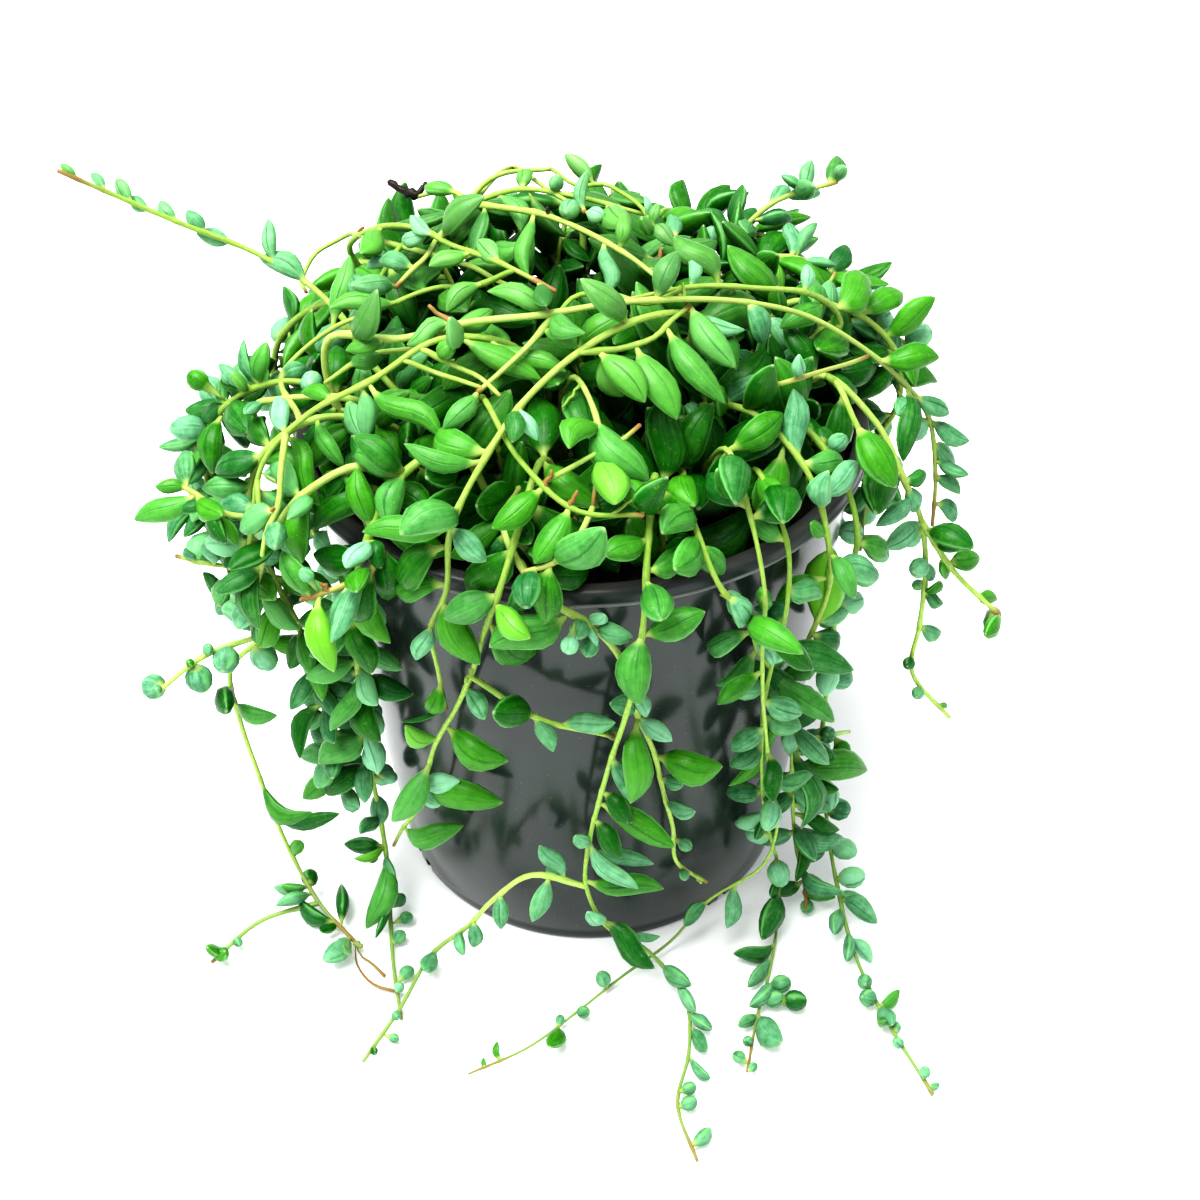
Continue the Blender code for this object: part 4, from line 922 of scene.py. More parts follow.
# More such leaves, on whichever stem of the crown passes nearest
CROWN_MARKS = (
    (313, 420, 343, 470, 16, G), (325, 322, 345, 251, 20, G), (397, 292, 351, 288, 21, B),
    (400, 314, 330, 316, 20, G), (413, 267, 378, 260, 18, B), (555, 318, 486, 292, 22, G),
    (458, 334, 541, 378, 24, G), (487, 334, 566, 369, 19, G), (369, 390, 443, 445, 22, G),
    (375, 424, 389, 490, 27, G), (490, 469, 408, 448, 18, G), (501, 454, 445, 434, 35, G),
    (449, 507, 394, 534, 36, G), (413, 468, 393, 528, 28, G), (375, 531, 360, 467, 25, G),
    (351, 525, 333, 467, 20, G), (450, 529, 361, 533, 24, G), (510, 474, 450, 506, 25, D),
    (543, 491, 491, 531, 26, G), (459, 531, 491, 564, 23, B), (559, 517, 528, 570, 29, G),
    (561, 584, 610, 540, 38, G), (603, 451, 617, 503, 32, L), (604, 402, 654, 474, 36, G),
    (686, 429, 722, 450, 34, G), (726, 424, 772, 416, 28, B), (694, 414, 12.5, B),
    (670, 464, 9, B), (686, 468, 696, 503, 30, G), (733, 455, 735, 502, 34, D),
    (768, 459, 793, 508, 28, G), (775, 490, 786, 522, 34, D), (676, 523, 732, 502, 26, G),
    (731, 511, 774, 529, 30, G), (666, 551, 630, 519, 38, G), (711, 528, 682, 566, 32, G),
    (717, 532, 733, 567, 24, G), (629, 579, 675, 564, 24, G), (801, 468, 793, 392, 26, B),
    (823, 437, 11, D), (838, 443, 10, B), (805, 462, 846, 464, 24, G),
    (854, 431, 886, 490, 26, G), (367, 222, 455, 205, 20, D), (455, 197, 423, 189, 18, G),
    (425, 238, 405, 217, 15, P), (377, 258, 358, 240, 13, D), (440, 312, 398, 337, 20, G),
    (480, 300, 444, 322, 17, G), (446, 350, 10, G), (368, 398, 366, 358, 19, G),
    (345, 408, 440, 400, 22, G), (475, 390, 441, 428, 20, G), (592, 180, 563, 151, 19, G),
    (592, 210, 591, 169, 11, B), (556, 184, 8, B), (520, 192, 528, 172, 15, G),
    (571, 208, 11, B), (596, 215, 9, P), (618, 235, 622, 205, 14, G), (650, 207, 646, 189, 7, P),
    (663, 218, 665, 198, 9, G), (670, 222, 652, 216, 15, G), (682, 228, 674, 209, 15, B),
    (698, 230, 9, L), (728, 222, 704, 205, 25, D), (733, 220, 743, 178, 19, D),
    (712, 236, 10, P), (742, 245, 758, 214, 17, D), (768, 208, 786, 188, 16, B),
    (795, 188, 776, 173, 13, B), (793, 183, 806, 155, 14, B), (785, 200, 820, 196, 18, B),
    (820, 172, 832, 148, 20, D), (830, 172, 841, 160, 12, B), (768, 232, 805, 208, 18, D),
    (790, 262, 790, 225, 18, B), (795, 258, 817, 222, 18, B), (805, 255, 838, 262, 14, B),
    (838, 310, 872, 280, 34, G), (850, 308, 845, 342, 22, D), (812, 285, 812, 260, 13, P),
    (775, 250, 780, 290, 17, L), (762, 245, 735, 292, 19, G), (770, 255, 830, 290, 26, G),
    (528, 215, 525, 280, 15, G), (545, 255, 550, 290, 17, D), (598, 245, 598, 300, 15, B),
    (605, 268, 548, 303, 16, G), (685, 252, 632, 290, 23, G), (690, 292, 688, 255, 13, P),
    (698, 262, 10, B), (688, 305, 735, 368, 27, G), (665, 320, 725, 400, 25, G),
    (710, 320, 757, 332, 15, B), (765, 330, 805, 376, 34, G), (775, 370, 776, 344, 13, P),
    (797, 375, 798, 352, 14, P), (725, 398, 757, 370, 20, B), (602, 350, 648, 402, 30, G),
    (605, 353, 622, 398, 28, L), (640, 345, 680, 420, 34, G), (535, 420, 548, 448, 14, P),
    (575, 440, 538, 436, 22, B), (600, 425, 570, 450, 26, G), (495, 200, 520, 235, 20, G),
    (455, 215, 420, 245, 22, D), (480, 215, 470, 262, 20, D), (500, 262, 478, 240, 18, G),
    (560, 235, 590, 262, 20, D), (540, 335, 575, 352, 18, G), (385, 330, 345, 345, 16, G),
    (350, 365, 385, 352, 16, G), (330, 405, 300, 395, 16, G), (648, 512, 612, 478, 24, G),
    (650, 520, 668, 478, 28, D), (700, 500, 668, 530, 30, G), (735, 520, 700, 480, 28, D),
    (752, 500, 720, 470, 26, G), (765, 520, 800, 505, 26, D), (690, 545, 652, 560, 24, D),
    (775, 545, 742, 520, 22, G), (640, 545, 600, 560, 26, G), (428, 405, 424, 440, 18, G),
    (462, 400, 432, 434, 18, B), (515, 400, 510, 438, 20, D), (470, 255, 428, 268, 18, G),
    (400, 262, 372, 270, 12, P), (640, 232, 668, 250, 16, D), (660, 245, 690, 240, 18, G),
    (745, 262, 720, 285, 20, D), (430, 226, 402, 236, 15, P),
)

# Small dry ends and cut stubs: the stems that may carry them, foot and tip in pixels, width in
# pixels, and how dry each is: below one it is cream or tan, above one nearly black.
STUBS = (
    (("top_hub", "top_left"), (416, 197, 388, 182, 10, 1.9)),
    (("top_hub", "top_left"), (404, 200, 413, 186, 7, 1.9)),
    (("arc_front", "arc_over", "arc_left"), (453, 326, 428, 306, 7, 0.7)),
    (("arc_low", "arc_middle"), (602, 529, 634, 506, 4, 0.25)),
    (("arc_low", "arc_middle"), (546, 486, 554, 469, 6, 0.8)),
    (("arc_low", "arc_middle"), (568, 506, 576, 490, 6, 0.8)),
    (("arc_front",), (456, 521, 446, 519, 7, 0.8)),
    (("arc_low", "top_hub"), (484, 388, 490, 374, 7, 0.8)),
    (("front_left",), (463, 668, 455, 683, 6, 0.2)), (("front_bead",), (693, 880, 703, 886, 4, 0.2)),
    (("front_bead",), (700, 884, 704, 890, 5, 0.2)), (("right_front",), (732, 604, 721, 598, 5, 0.3)),
    (("right_front",), (795, 895, 795, 918, 5, 0.9)), (("left_front",), (330, 588, 322, 580, 6, 0.8)),
    (("left_front",), (310, 598, 300, 600, 6, 0.8)),
    (("arc_over", "arc_middle"), (585, 368, 566, 392, 4, 0.15)),
    (("left_dense", "arc_left"), (283, 516, 276, 521, 6, 0.7)),
    (("arc_left",), (180, 484, 168, 482, 6, 0.9)), (("left_trail",), (356, 940, 362, 944, 7, 0.3)),
    (("top_hub",), (545, 205, 543, 196, 5, 1.6)),
    (("right_rim", "right_hang"), (808, 447, 802, 440, 4, 0.6)),
    (("right_trail",), (930, 1086, 934, 1095, 4, 0.5)),
    (("arc_right", "arc_over"), (690, 302, 688, 286, 4, 0.3)),
    (("top_left", "top_hub"), (352, 232, 360, 225, 5, 0.8)),
)


MARKED_STEMS = {name for names, _ in MARKED_LEAVES for name in names}


def marked_place(path, pixel):
    """Return the place on a path that is seen nearest to a pixel, and how far the two are apart."""
    pixels, depth = seen_at(path)
    apart = np.linalg.norm(pixels - pixel, axis=1)
    near = apart < apart.min() + 3.0
    best = int(np.argmin(np.where(near, depth, np.inf)))
    return path[best], pixels[best] - pixel


def marked_leaf(path, mark, taken, owner, rng):
    """Return the leaf that the photograph shows, grown from a path.

    Its foot is the path's nearest place. Its tip, or a bead's middle, is on its pixel's line of
    sight, near the plane through the foot that faces outward and to the viewer. It slides along
    that line until it is clear of other things and not too short for its width.
    """
    is_bead = len(mark) == 4
    end = np.array(mark[:2] if is_bead else mark[2:4], float)
    base, shift = marked_place(path, np.array(mark[:2], float))
    if not is_bead:
        end += TIP_FOLLOWS * shift
    on_floor = base[2] < FLOOR_ZONE
    normal = outward_at(base) if on_floor else facing_viewer(base, LEAF_FACING)
    share = 1.0 if is_bead else NARROW_HALF if mark[4] < NARROW else WIDE_HALF
    half_width = depth_of(base) / PIXELS * (mark[-2] * share)
    middle = plane_depth(end, base + normal * (0.5 * half_width if on_floor else LEAF_LIFT), normal)
    chosen, least = None, np.inf
    for step in SIGHT_STEPS:
        tip = at_depth(end, middle + step)
        run = max(float(np.linalg.norm(tip - base)), 0.5)
        way = (tip - base) / run
        if is_bead:
            run = max(run, half_width + 0.4)
            length = run + 1.12 * half_width
            cost = STAND_COST * abs(run - half_width - BEAD_STAND)
            neck = max(run - 0.98 * half_width, 0.1) / length
        else:
            length = run
            shortfall = max(2.0 * half_width / GREATEST_FULLNESS - length, 0.0)
            cost = SHORT_COST * shortfall + LENGTH_COST * length
            neck = 0.06 + 0.05 * rng.random()
        balls, sizes = leaf_balls(base, way[None], length, half_width)
        point = base + way * length
        cost += STEP_COST * abs(step)
        cost += CLASH_COST * float(taken.clash(base, balls, sizes, length, owner, MARKED_ROOM)[0])
        cost += SUNK_COST * max(0.0, 0.75 * half_width - min(point[2], balls[..., 2].min()))
        cost += 0.0 if inside_box(point, 0.4) else OUTSIDE_COST
        if cost < least:
            blue, tone = mark[-1]
            blue = float(np.clip(blue + rng.uniform(-TINT_SPREAD, TINT_SPREAD), 0.0, 1.0))
            tone += rng.uniform(-TINT_SPREAD, TINT_SPREAD)
            chosen, least = Leaf(base, way, length, half_width, blue, tone, neck), cost
    return chosen


def nearest_stem(stems, names, paths, foot, depth_cost):
    """Return the stem of some names, or a thin one beside it, that is seen nearest to a pixel."""
    carriers = [stem for stem in stems if stem.name in names or stem.twin in names]
    costs = []
    for stem in carriers:
        place, shift = marked_place(paths[stem.name], foot)
        costs.append(np.linalg.norm(shift) + depth_cost * (depth_of(place) - VIEW_DISTANCE))
    return carriers[int(np.argmin(costs))]


def dress_marked(stems, paths, taken):
    """Grow the leaves that the photograph shows and the dry stubs, each on its nearest stem."""
    rng = np.random.default_rng(SEED + 40)
    crown = tuple(stem.name for stem in stems
                  if seen_at(paths[stem.name])[1].min() < VIEW_DISTANCE + FRONT_DEPTH
                  and paths[stem.name][:, 2].max() > POT_HEIGHT + CROWN_RISE)
    for names, marks in MARKED_LEAVES + ((crown, CROWN_MARKS),):
        for mark in marks:
            stem = nearest_stem(stems, names, paths, np.array(mark[:2], float), DEPTH_COST)
            leaf = marked_leaf(paths[stem.name], mark, taken, stem.group, rng)
            stem.leaves.append(leaf)
            taken.add(*leaf.room(), stem.group)
    for names, (x, y, end_x, end_y, width, dry) in STUBS:
        foot = np.array((x, y), float)
        stem = nearest_stem(stems, names, paths, foot, 0.0)
        base, shift = marked_place(paths[stem.name], foot)
        end = np.array((end_x, end_y)) + shift
        normal = facing_viewer(base, STUB_FACING)
        tip = at_depth(end, plane_depth(end, base + STUB_LIFT * normal, normal))
        stem.stubs.append((base, tip, 0.5 * width * depth_of(base) / PIXELS, dry))


def runner_stems(points, stems):
    """Return the points with those of the thin stems over the crown added, and these stems.

    A runner's points lie on the crown's dome, a little lifted, along the lines of sight of its
    pixels. One beside the crown keeps to the plane through its foot that faces the viewer.
    """
    by_name = {stem.name: stem for stem in stems}
    made = []
    for number, (carrier, radius, dry, lift, pixels) in enumerate(RUNNERS):
        parent = by_name[carrier]
        path = smooth(points[parent.indices], PATH_STEP)
        foot, _ = marked_place(path, np.array(pixels[0], float))
        route = [foot]
        normal = facing_viewer(foot, RUNNER_FACING)
        for pixel in pixels[1:]:
            if foot[2] < FLOOR_ZONE:
                route.append(at_depth(pixel, plane_depth(pixel, radius * UPWARD, UPWARD)))
            elif lift is None:
                route.append(at_depth(pixel, plane_depth(pixel, foot + RUNNER_LIFT * normal, normal)))
            else:
                route.append(meet_crown(pixel, lift))
        route = np.clip(np.array(route), BOX_LOW + RUNNER_SPARE, BOX_HIGH - RUNNER_SPARE)
        indices = list(range(len(points), len(points) + len(route) - 1))
        points = np.concatenate((points, route[1:]))
        stem = Stem("runner_%d" % (number + 1), parent.group, indices, *RUNNER_LEAVES, True)
        stem.twin = carrier
        stem.foot = foot
        stem.width = radius
        stem.dryness = dry
        made.append(stem)
    return points, stems + made


def stem_path(points, stem):
    """Return the fine path of a stem, from the place where it leaves its carrier."""
    route = points[stem.indices]
    if stem.foot is not None:
        route = np.concatenate((stem.foot[None], route))
    return smooth(route, PATH_STEP)


def crown_shade_share(place):
    """Return how bright a leaf is painted at a place: leaves deep inside the crown get painted shade,
    darker with depth.
    """
    depth = crown_top(math.hypot(place[0], place[1])) - place[2] if place[2] > POT_HEIGHT else 0.0
    return min(max(1.15 - depth / SHADE_DEPTH, 0.15), 1.0)


def grow_leaves(points, stems, taken, rule, wanted=None):
    """Dress each stem with leaves, each turned about the stem until it is clear, or left out.

    A test of wanted places, if given, says which feet may carry a leaf and which tips are good.
    """
    for number, stem in enumerate(stems):
        if stem.width < BARE_THREAD:
            continue
        rng = np.random.default_rng(rule.seed + number)
        looks = np.random.default_rng(rule.seed + 9000 + number)
        path = points[stem.indices]
        along = run_along(path)
        begin = rule.side_bare if stem.is_side else rule.main_bare
        turn = rng.uniform(0.0, 360.0)
        for place in np.arange(begin, along[-1] - 1.0, rule.gap_share * stem.gap):
            base = places_along(place, along, path)
            length = stem.leaf_start + (stem.leaf_end - stem.leaf_start) * (place / along[-1]) ** 1.2
            length *= rng.uniform(0.86, 1.16) * rule.size
            if wanted is not None and base[0] < SMALL_SIDE:
                length *= SMALL_SHARE
            half_width = leaf_half_width(length) * rule.plump
            span = min(int(np.searchsorted(along, place)), len(path) - 1)
            forward = path[span] - path[span - 1]
            forward /= np.linalg.norm(forward)
            turn += LEAF_TURN + rng.uniform(-18.0, 18.0)
            ways = leaf_ways(forward, turn, rng.uniform(-8.0, 8.0), rule.tilts)
            tone, blue, neck = looks.uniform(0.0, 1.0, 3)
            # Painted shade: leaves deep in the crown are darkened
            tone *= crown_shade_share(base)
            if wanted is not None and not wanted(stem, base, base[None])[0]:
                continue
            balls, sizes = leaf_balls(base, ways, length, half_width)
            meets = taken.clash(base, balls, sizes, length, stem.group, rule)
            if wanted is not None:
                tips = base + ways * length
                meets |= ~inside_box(tips, 1.0) | ~wanted(stem, base, tips)
            if meets.all():
                continue
            way = ways[int(np.argmin(meets))]
            blue = float(np.clip((BLUE_BELOW - length) / BLUE_RANGE + 0.5 * (blue - 0.5), 0.0, 1.0))
            leaf = Leaf(base, way, length, half_width, blue, tone, 0.06 + 0.06 * neck)
            stem.leaves.append(leaf)
            taken.add(*leaf.room(), stem.group)


def in_crown(stem, base, places):
    """Say which places a leaf may reach inside the crown, below the stems that lie over it."""
    radius = np.hypot(places[:, 0], places[:, 1])
    top = SOIL_TOP + CROWN_HEIGHT * np.sqrt(np.clip(1.0 - (radius / CROWN_RADIUS) ** 2, 0.0, 1.0))
    reach = np.where(shows_rim(places), BARE_RIM_REACH, CROWN_RADIUS - CROWN_EDGE)
    return (base[2] > SOIL_TOP + 2.0) & (radius < reach) & (places[:, 2] < top - CROWN_SINK)


def in_middle(stem, base, places):
    """Say which places a leaf may reach near the middle of the crown, where few stems stand."""
    return in_crown(stem, base, places) & (math.hypot(base[0], base[1]) < MIDDLE_REACH)


def shows_rim(places):
    """Say which places are where the crown leaves the soil and the rim in view, at the front right."""
    azimuth = np.degrees(np.arctan2(places[..., 1], places[..., 0]))
    return (azimuth > BARE_RIM_AZIMUTHS[0]) & (azimuth < BARE_RIM_AZIMUTHS[1])


def hanging_behind(stem, base, places):
    """Say whether a leaf may grow here on the hanging strands that have few marked leaves."""
    is_free = base[1] > BACK_FROM or stem.name in DENSE_STEMS or stem.name not in MARKED_STEMS
    is_free = is_free or (base[0] < DENSE_SIDE[0] and base[2] > DENSE_SIDE[1])
    return np.full(len(places), is_free and base[2] < POT_HEIGHT + HANGING_RISE)


def hanging_at_back(stem, base, places):
    """Say whether one more leaf may grow here, away from the front left, where the stems show."""
    is_near = math.hypot(base[0], base[1]) < STEMS_SHOW_FROM
    return hanging_behind(stem, base, places) & (base[1] > BACK_FROM or base[0] > 0.0 or is_near)


def along_strand(stem, base, places):
    """Say whether a small leaf may grow here, between the marked leaves of a hanging strand."""
    azimuth = math.degrees(math.atan2(base[1], base[0]))
    is_bare = BARE_WALL[0] < azimuth < BARE_WALL[1] and base[2] > BARE_WALL[2]
    lowest = FILLED_ABOVE.get(stem.twin or stem.name, POT_HEIGHT)
    return np.full(len(places), not is_bare and lowest < base[2] < POT_HEIGHT + STRAND_RISE)


def is_shown(stem, leaf, taken):
    """Say whether a plain leaf stays: clear of the marked ones, and not where they or the rim show."""
    tip = leaf.base + leaf.length * leaf.way
    is_out = leaf.base[2] < POT_HEIGHT + 8.0 or math.hypot(*leaf.base[:2]) > CROWN_RADIUS - 14.0
    is_marked = stem.name in MARKED_STEMS and leaf.base[1] < BACK_FROM and is_out
    hides_rim = shows_rim(tip) and math.hypot(tip[0], tip[1]) > BARE_RIM_REACH and tip[1] < BACK_FROM
    balls, sizes = leaf.room()
    meets = taken.clash(leaf.base, balls[None], sizes, leaf.length, stem.group, CROWN_ROUNDS[0])[0]
    return not (is_marked or meets or hides_rim)


def grown_plant():
    """Return the stems with all their leaves, and the fine path of each stem by name."""
    points, held, stems = lay_out()
    points = bend_clear(points, held, stems)
    grow_leaves(points, stems, stem_room(points, stems), PLAIN_ROUND)
    plain = [(stem, leaf) for stem in stems for leaf in stem.leaves]
    points, stems = runner_stems(points, stems)
    paths = {stem.name: stem_path(points, stem) for stem in stems}
    for stem in stems:
        stem.leaves = []
    taken = stem_room(points, stems)
    dress_marked(stems, paths, taken)
    for stem, leaf in plain:
        if is_shown(stem, leaf, taken):
            stem.leaves.append(leaf)
            taken.add(*leaf.room(), stem.group)
    rounds = [(rule, hanging_behind) for rule in HANGING_ROUNDS] + [(BACK_ROUND, hanging_at_back)]
    rounds += [(rule, in_crown) for rule in CROWN_ROUNDS]
    rounds += [(MIDDLE_ROUND, in_middle), (STRAND_ROUND, along_strand)]
    for rule, wanted in rounds:
        grow_leaves(points, stems, taken, rule, wanted)
    return stems, paths


class Surface:
    """Places in millimetres, faces and per-place values, gathered for one piece."""

    def __init__(self):
        self.places = []
        self.quads = []
        self.triangles = []
        self.values = {}
        self.count = 0

    def add(self, places, quads, triangles=np.zeros((0, 3), int), values=None):
        """Add a part: its places, its faces as rows of place numbers, and its values."""
        self.places.append(places)
        self.quads.append(quads + self.count)
        self.triangles.append(triangles + self.count)
        for name, value in (values or {}).items():
            self.values.setdefault(name, []).append(value)
        self.count += len(places)

    def piece(self, name, finishes, is_smooth=True):
        """Return the whole as an object at the origin."""
        mesh = bpy.data.meshes.new(name)
        quads = np.concatenate(self.quads)
        triangles = np.concatenate(self.triangles)
        faces = quads.tolist() + triangles.tolist()
        mesh.from_pydata((np.concatenate(self.places) * MM).tolist(), [], faces)
        for label, parts in self.values.items():
            value = np.concatenate(parts)
            kind = "FLOAT_VECTOR" if value.ndim == 2 else "FLOAT"
            attribute = mesh.attributes.new(label, kind, "POINT")
            attribute.data.foreach_set("vector" if value.ndim == 2 else "value",
                                       value.astype(np.float32).ravel())
        mesh.polygons.foreach_set("use_smooth", np.full(len(faces), is_smooth))
        mesh.update()
        made = bpy.data.objects.new(name, mesh)
        for finish in finishes:
            mesh.materials.append(finish)
        bpy.context.scene.collection.objects.link(made)
        return made


def sleeve_faces(rings, sides):
    """Return the four-cornered faces of a sleeve, each ring joined to the next one."""
    ring = np.arange(rings - 1)[:, None] * sides
    side = np.arange(sides)[None, :]
    after = (side + 1) % sides
    corners = (ring + side, ring + after, ring + sides + after, ring + sides + side)
    return np.stack(corners, -1).reshape(-1, 4)


def cap_faces(rings, sides):
    """Return the triangles that close a sleeve with one place below it and one above it.

    The two places come after the sleeve's own, the lower one first.
    """
    side = np.arange(sides)
    after = (side + 1) % sides
    low = np.full(sides, rings * sides)
    last = (rings - 1) * sides
    foot = np.stack((low, after, side), -1)
    top = np.stack((low + 1, last + side, last + after), -1)
    return np.concatenate((foot, top))


# Sides of the sleeve and the shares of its rings, for slim leaves and for beads
SLIM_GRID = (8, np.array((0.03, 0.11, 0.23, 0.38, 0.54, 0.71, 0.86, 0.96)))
BEAD_GRID = (12, np.array((0.067, 0.25, 0.50, 0.75, 0.933)))
BEAD_FULLNESS = 0.68
BOX_SPARE = 0.15
VIEW_SHARE = 0.9
# The place in the crown that leaves' upper sides turn away from, and how much of its rise counts
HEART_HEIGHT = 60.0
HEART_SHARE = 0.6
# How round a leaf is: none at the first fullness, and a bead one range above it
ROUND_FROM = 0.50
ROUND_RANGE = 0.36
# Measures of a slim leaf, and what a bead adds to each
FOOT_POWER = (0.92, -0.40)
TIP_POWER = (0.86, -0.34)
FLATNESS = (0.66, 0.30)
NECK_RADIUS = (0.62, -0.10)
# A leaf's bends as shares of its length: a bow over its back, a sway and a curl to the side
BOW = (-0.09, 0.20)
SWAY = 0.085
CURL = 0.034
BEAD_STIFFNESS = 0.85
GROOVE_DEPTH = 0.07
LEAN_BACK = 1.3
GRAIN_SIZE = 3.5
# Values that the plant's finish reads at every place
LOOK_NAMES = ("leaf", "share", "above", "across", "tone", "blue", "dry", "grain")


def looks(count, **given):
    """Return a part's values for its finish by name: zero at every place where none is given."""
    return {name: given[name] if name in given else np.zeros(count) for name in LOOK_NAMES}


def fitted(measure, roundness):
    """Return a leaf's measure from a slim leaf's and from what a bead adds to it."""
    return measure[0] + measure[1] * roundness


def with_ends(rows):
    """Return rows with the values of a leaf's two ends behind them: none and one."""
    return np.concatenate((rows, np.zeros((len(rows), 1)), np.ones((len(rows), 1))), axis=1)


def leaf_surfaces(leaves, grid, rng):
    """Return the places, faces and values of many leaves at once.

    A leaf is a sleeve about a line from its foot to its tip, bowed by a half wave and by a small
    whole one. Its half width is the product of its share of the length and of what is left of it,
    each to a power that is lower for rounder leaves, joined with a thin stalk at the foot. It is
    flatter than it is wide, with a shallow groove along its upper side. A leaf that would leave
    the plain model's box leans back inside it, more towards its tip.
    """
    sides, ring_shares = grid
    count, rings = len(leaves), len(ring_shares) + 1
    base, way, length, half_width, blue, tone, neck = (np.array(column) for column in zip(*leaves))
    way = unit(way)
    fullness = 2.0 * half_width / (length * (1.0 - neck))
    roundness = np.clip((fullness - ROUND_FROM) / ROUND_RANGE, 0.0, 1.0)
    outward = base - np.array((0.0, 0.0, HEART_HEIGHT))
    outward[:, 2] *= HEART_SHARE
    faces_view = (base[:, 1] < BACK_FROM)[:, None]
    outward = unit(outward) + VIEW_SHARE * faces_view * VIEW_BACK + rng.normal(0.0, 0.30, (count, 3))
    over = unit(outward - (outward * way).sum(1)[:, None] * way)
    side = np.cross(over, way)
    limpness = 1.0 - BEAD_STIFFNESS * roundness
    bow = rng.uniform(*BOW, count) * limpness
    sway = rng.normal(0.0, SWAY, count) * limpness
    curl = rng.normal(0.0, CURL, count) * limpness
    share = neck[:, None] + (1.0 - neck[:, None]) * ring_shares[None, :]
    share = np.concatenate((0.5 * neck[:, None], share), axis=1)
    body = np.clip((share - neck[:, None]) / (1.0 - neck[:, None]), 0.0, 1.0) ** 0.92
    foot_power = fitted(FOOT_POWER, roundness)[:, None]
    tip_power = fitted(TIP_POWER, roundness)[:, None]
    widest = foot_power / (foot_power + tip_power)
    lens = (body / widest) ** foot_power * ((1.0 - body) / (1.0 - widest)) ** tip_power
    stalk = fitted(NECK_RADIUS, roundness)[:, None] * (1.0 - 0.9 * share)
    radius = np.sqrt((half_width[:, None] * lens) ** 2 + stalk ** 2)
    angle = 2.0 * np.pi * np.arange(sides) / sides
    across, above = np.cos(angle), np.sin(angle)
    groove = 1.0 - GROOVE_DEPTH * (above > 0.9)
    half_wave = np.sin(np.pi * share)[..., None]
    whole_wave = np.sin(2.0 * np.pi * share)[..., None]
    centre = (
        base[:, None] + (length[:, None] * share)[..., None] * way[:, None]
        + (length * bow)[:, None, None] * half_wave * over[:, None]
        + (length * sway)[:, None, None] * half_wave * side[:, None]
        + (length * curl)[:, None, None] * whole_wave * side[:, None]
    )
    flatness = fitted(FLATNESS, roundness)[:, None, None]
    ring = (
        across[None, None, :, None] * side[:, None, None]
        + (flatness * (above * groove)[None, None, :])[..., None] * over[:, None, None]
    )
    sleeve = centre[:, :, None] + radius[..., None, None] * ring
    foot = base - 0.3 * way
    tip = base + length[:, None] * way
    places = np.concatenate((sleeve.reshape(count, -1, 3), foot[:, None], tip[:, None]), axis=1)
    low, high = BOX_LOW + BOX_SPARE, BOX_HIGH - BOX_SPARE
    shift = np.maximum(low - places.min(1), 0.0) - np.maximum(places.max(1) - high, 0.0)
    reach = with_ends(np.repeat(share, sides, axis=1))
    places = np.clip(places + LEAN_BACK * shift[:, None] * reach[..., None], low, high)
    per_leaf = places.shape[1]
    start = (np.arange(count) * per_leaf)[:, None, None]
    quads = (sleeve_faces(rings, sides)[None] + start).reshape(-1, 4)
    triangles = (cap_faces(rings, sides)[None] + start).reshape(-1, 3)

    def by_side(values):
        """Return a value for every place from values by side, none at the two ends."""
        return np.tile(np.concatenate((np.tile(values, rings), (0.0, 0.0))), count)

    shares = with_ends(np.repeat(body, sides, axis=1)).ravel()
    across, above = by_side(across), by_side(above)
    drift = np.repeat(rng.uniform(0.0, 40.0, count), per_leaf)
    grain = np.stack((across + drift, above, 0.6 * shares), axis=1)
    grain[:, :2] *= (np.repeat(half_width, per_leaf) / GRAIN_SIZE)[:, None]
    total = count * per_leaf
    values = looks(total, leaf=np.ones(total), share=shares, above=above, across=across, grain=grain,
                   tone=np.repeat(tone, per_leaf), blue=np.repeat(blue, per_leaf))
    return places.reshape(-1, 3), quads, triangles, values


def carried_frames(path):
    """Return the way along a path and two cross directions, carried on without twist."""
    along = unit(np.gradient(path, axis=0))
    side = np.empty_like(path)
    side[0] = unit(side_way(along[0]))
    for place in range(1, len(path)):
        carried = side[place - 1] - along[place] * (side[place - 1] @ along[place])
        side[place] = unit(carried)
    return along, side, np.cross(along, side)


STALK_SIDES = 8
STALK_FULLNESS = 0.76
THIN_STEMS = {
    "right_floor": 0.62, "right_inner": 0.66, "right_front": 0.78, "right_trail": 0.82, "front_trail": 0.84,
    "front_left": 0.9,
}
# Tones of the thin stems are this much lower
THIN_TONE = 0.6
# A stalk swells where a leaf stands: over what distance and by how much, and how it varies
NODE_REACH = 1.9
NODE_SWELLING = 0.26
STALK_VARIATION = 0.02
# A stalk dries over its last tenth
DRY_FROM = 0.90
TWIG_POINTS = 7


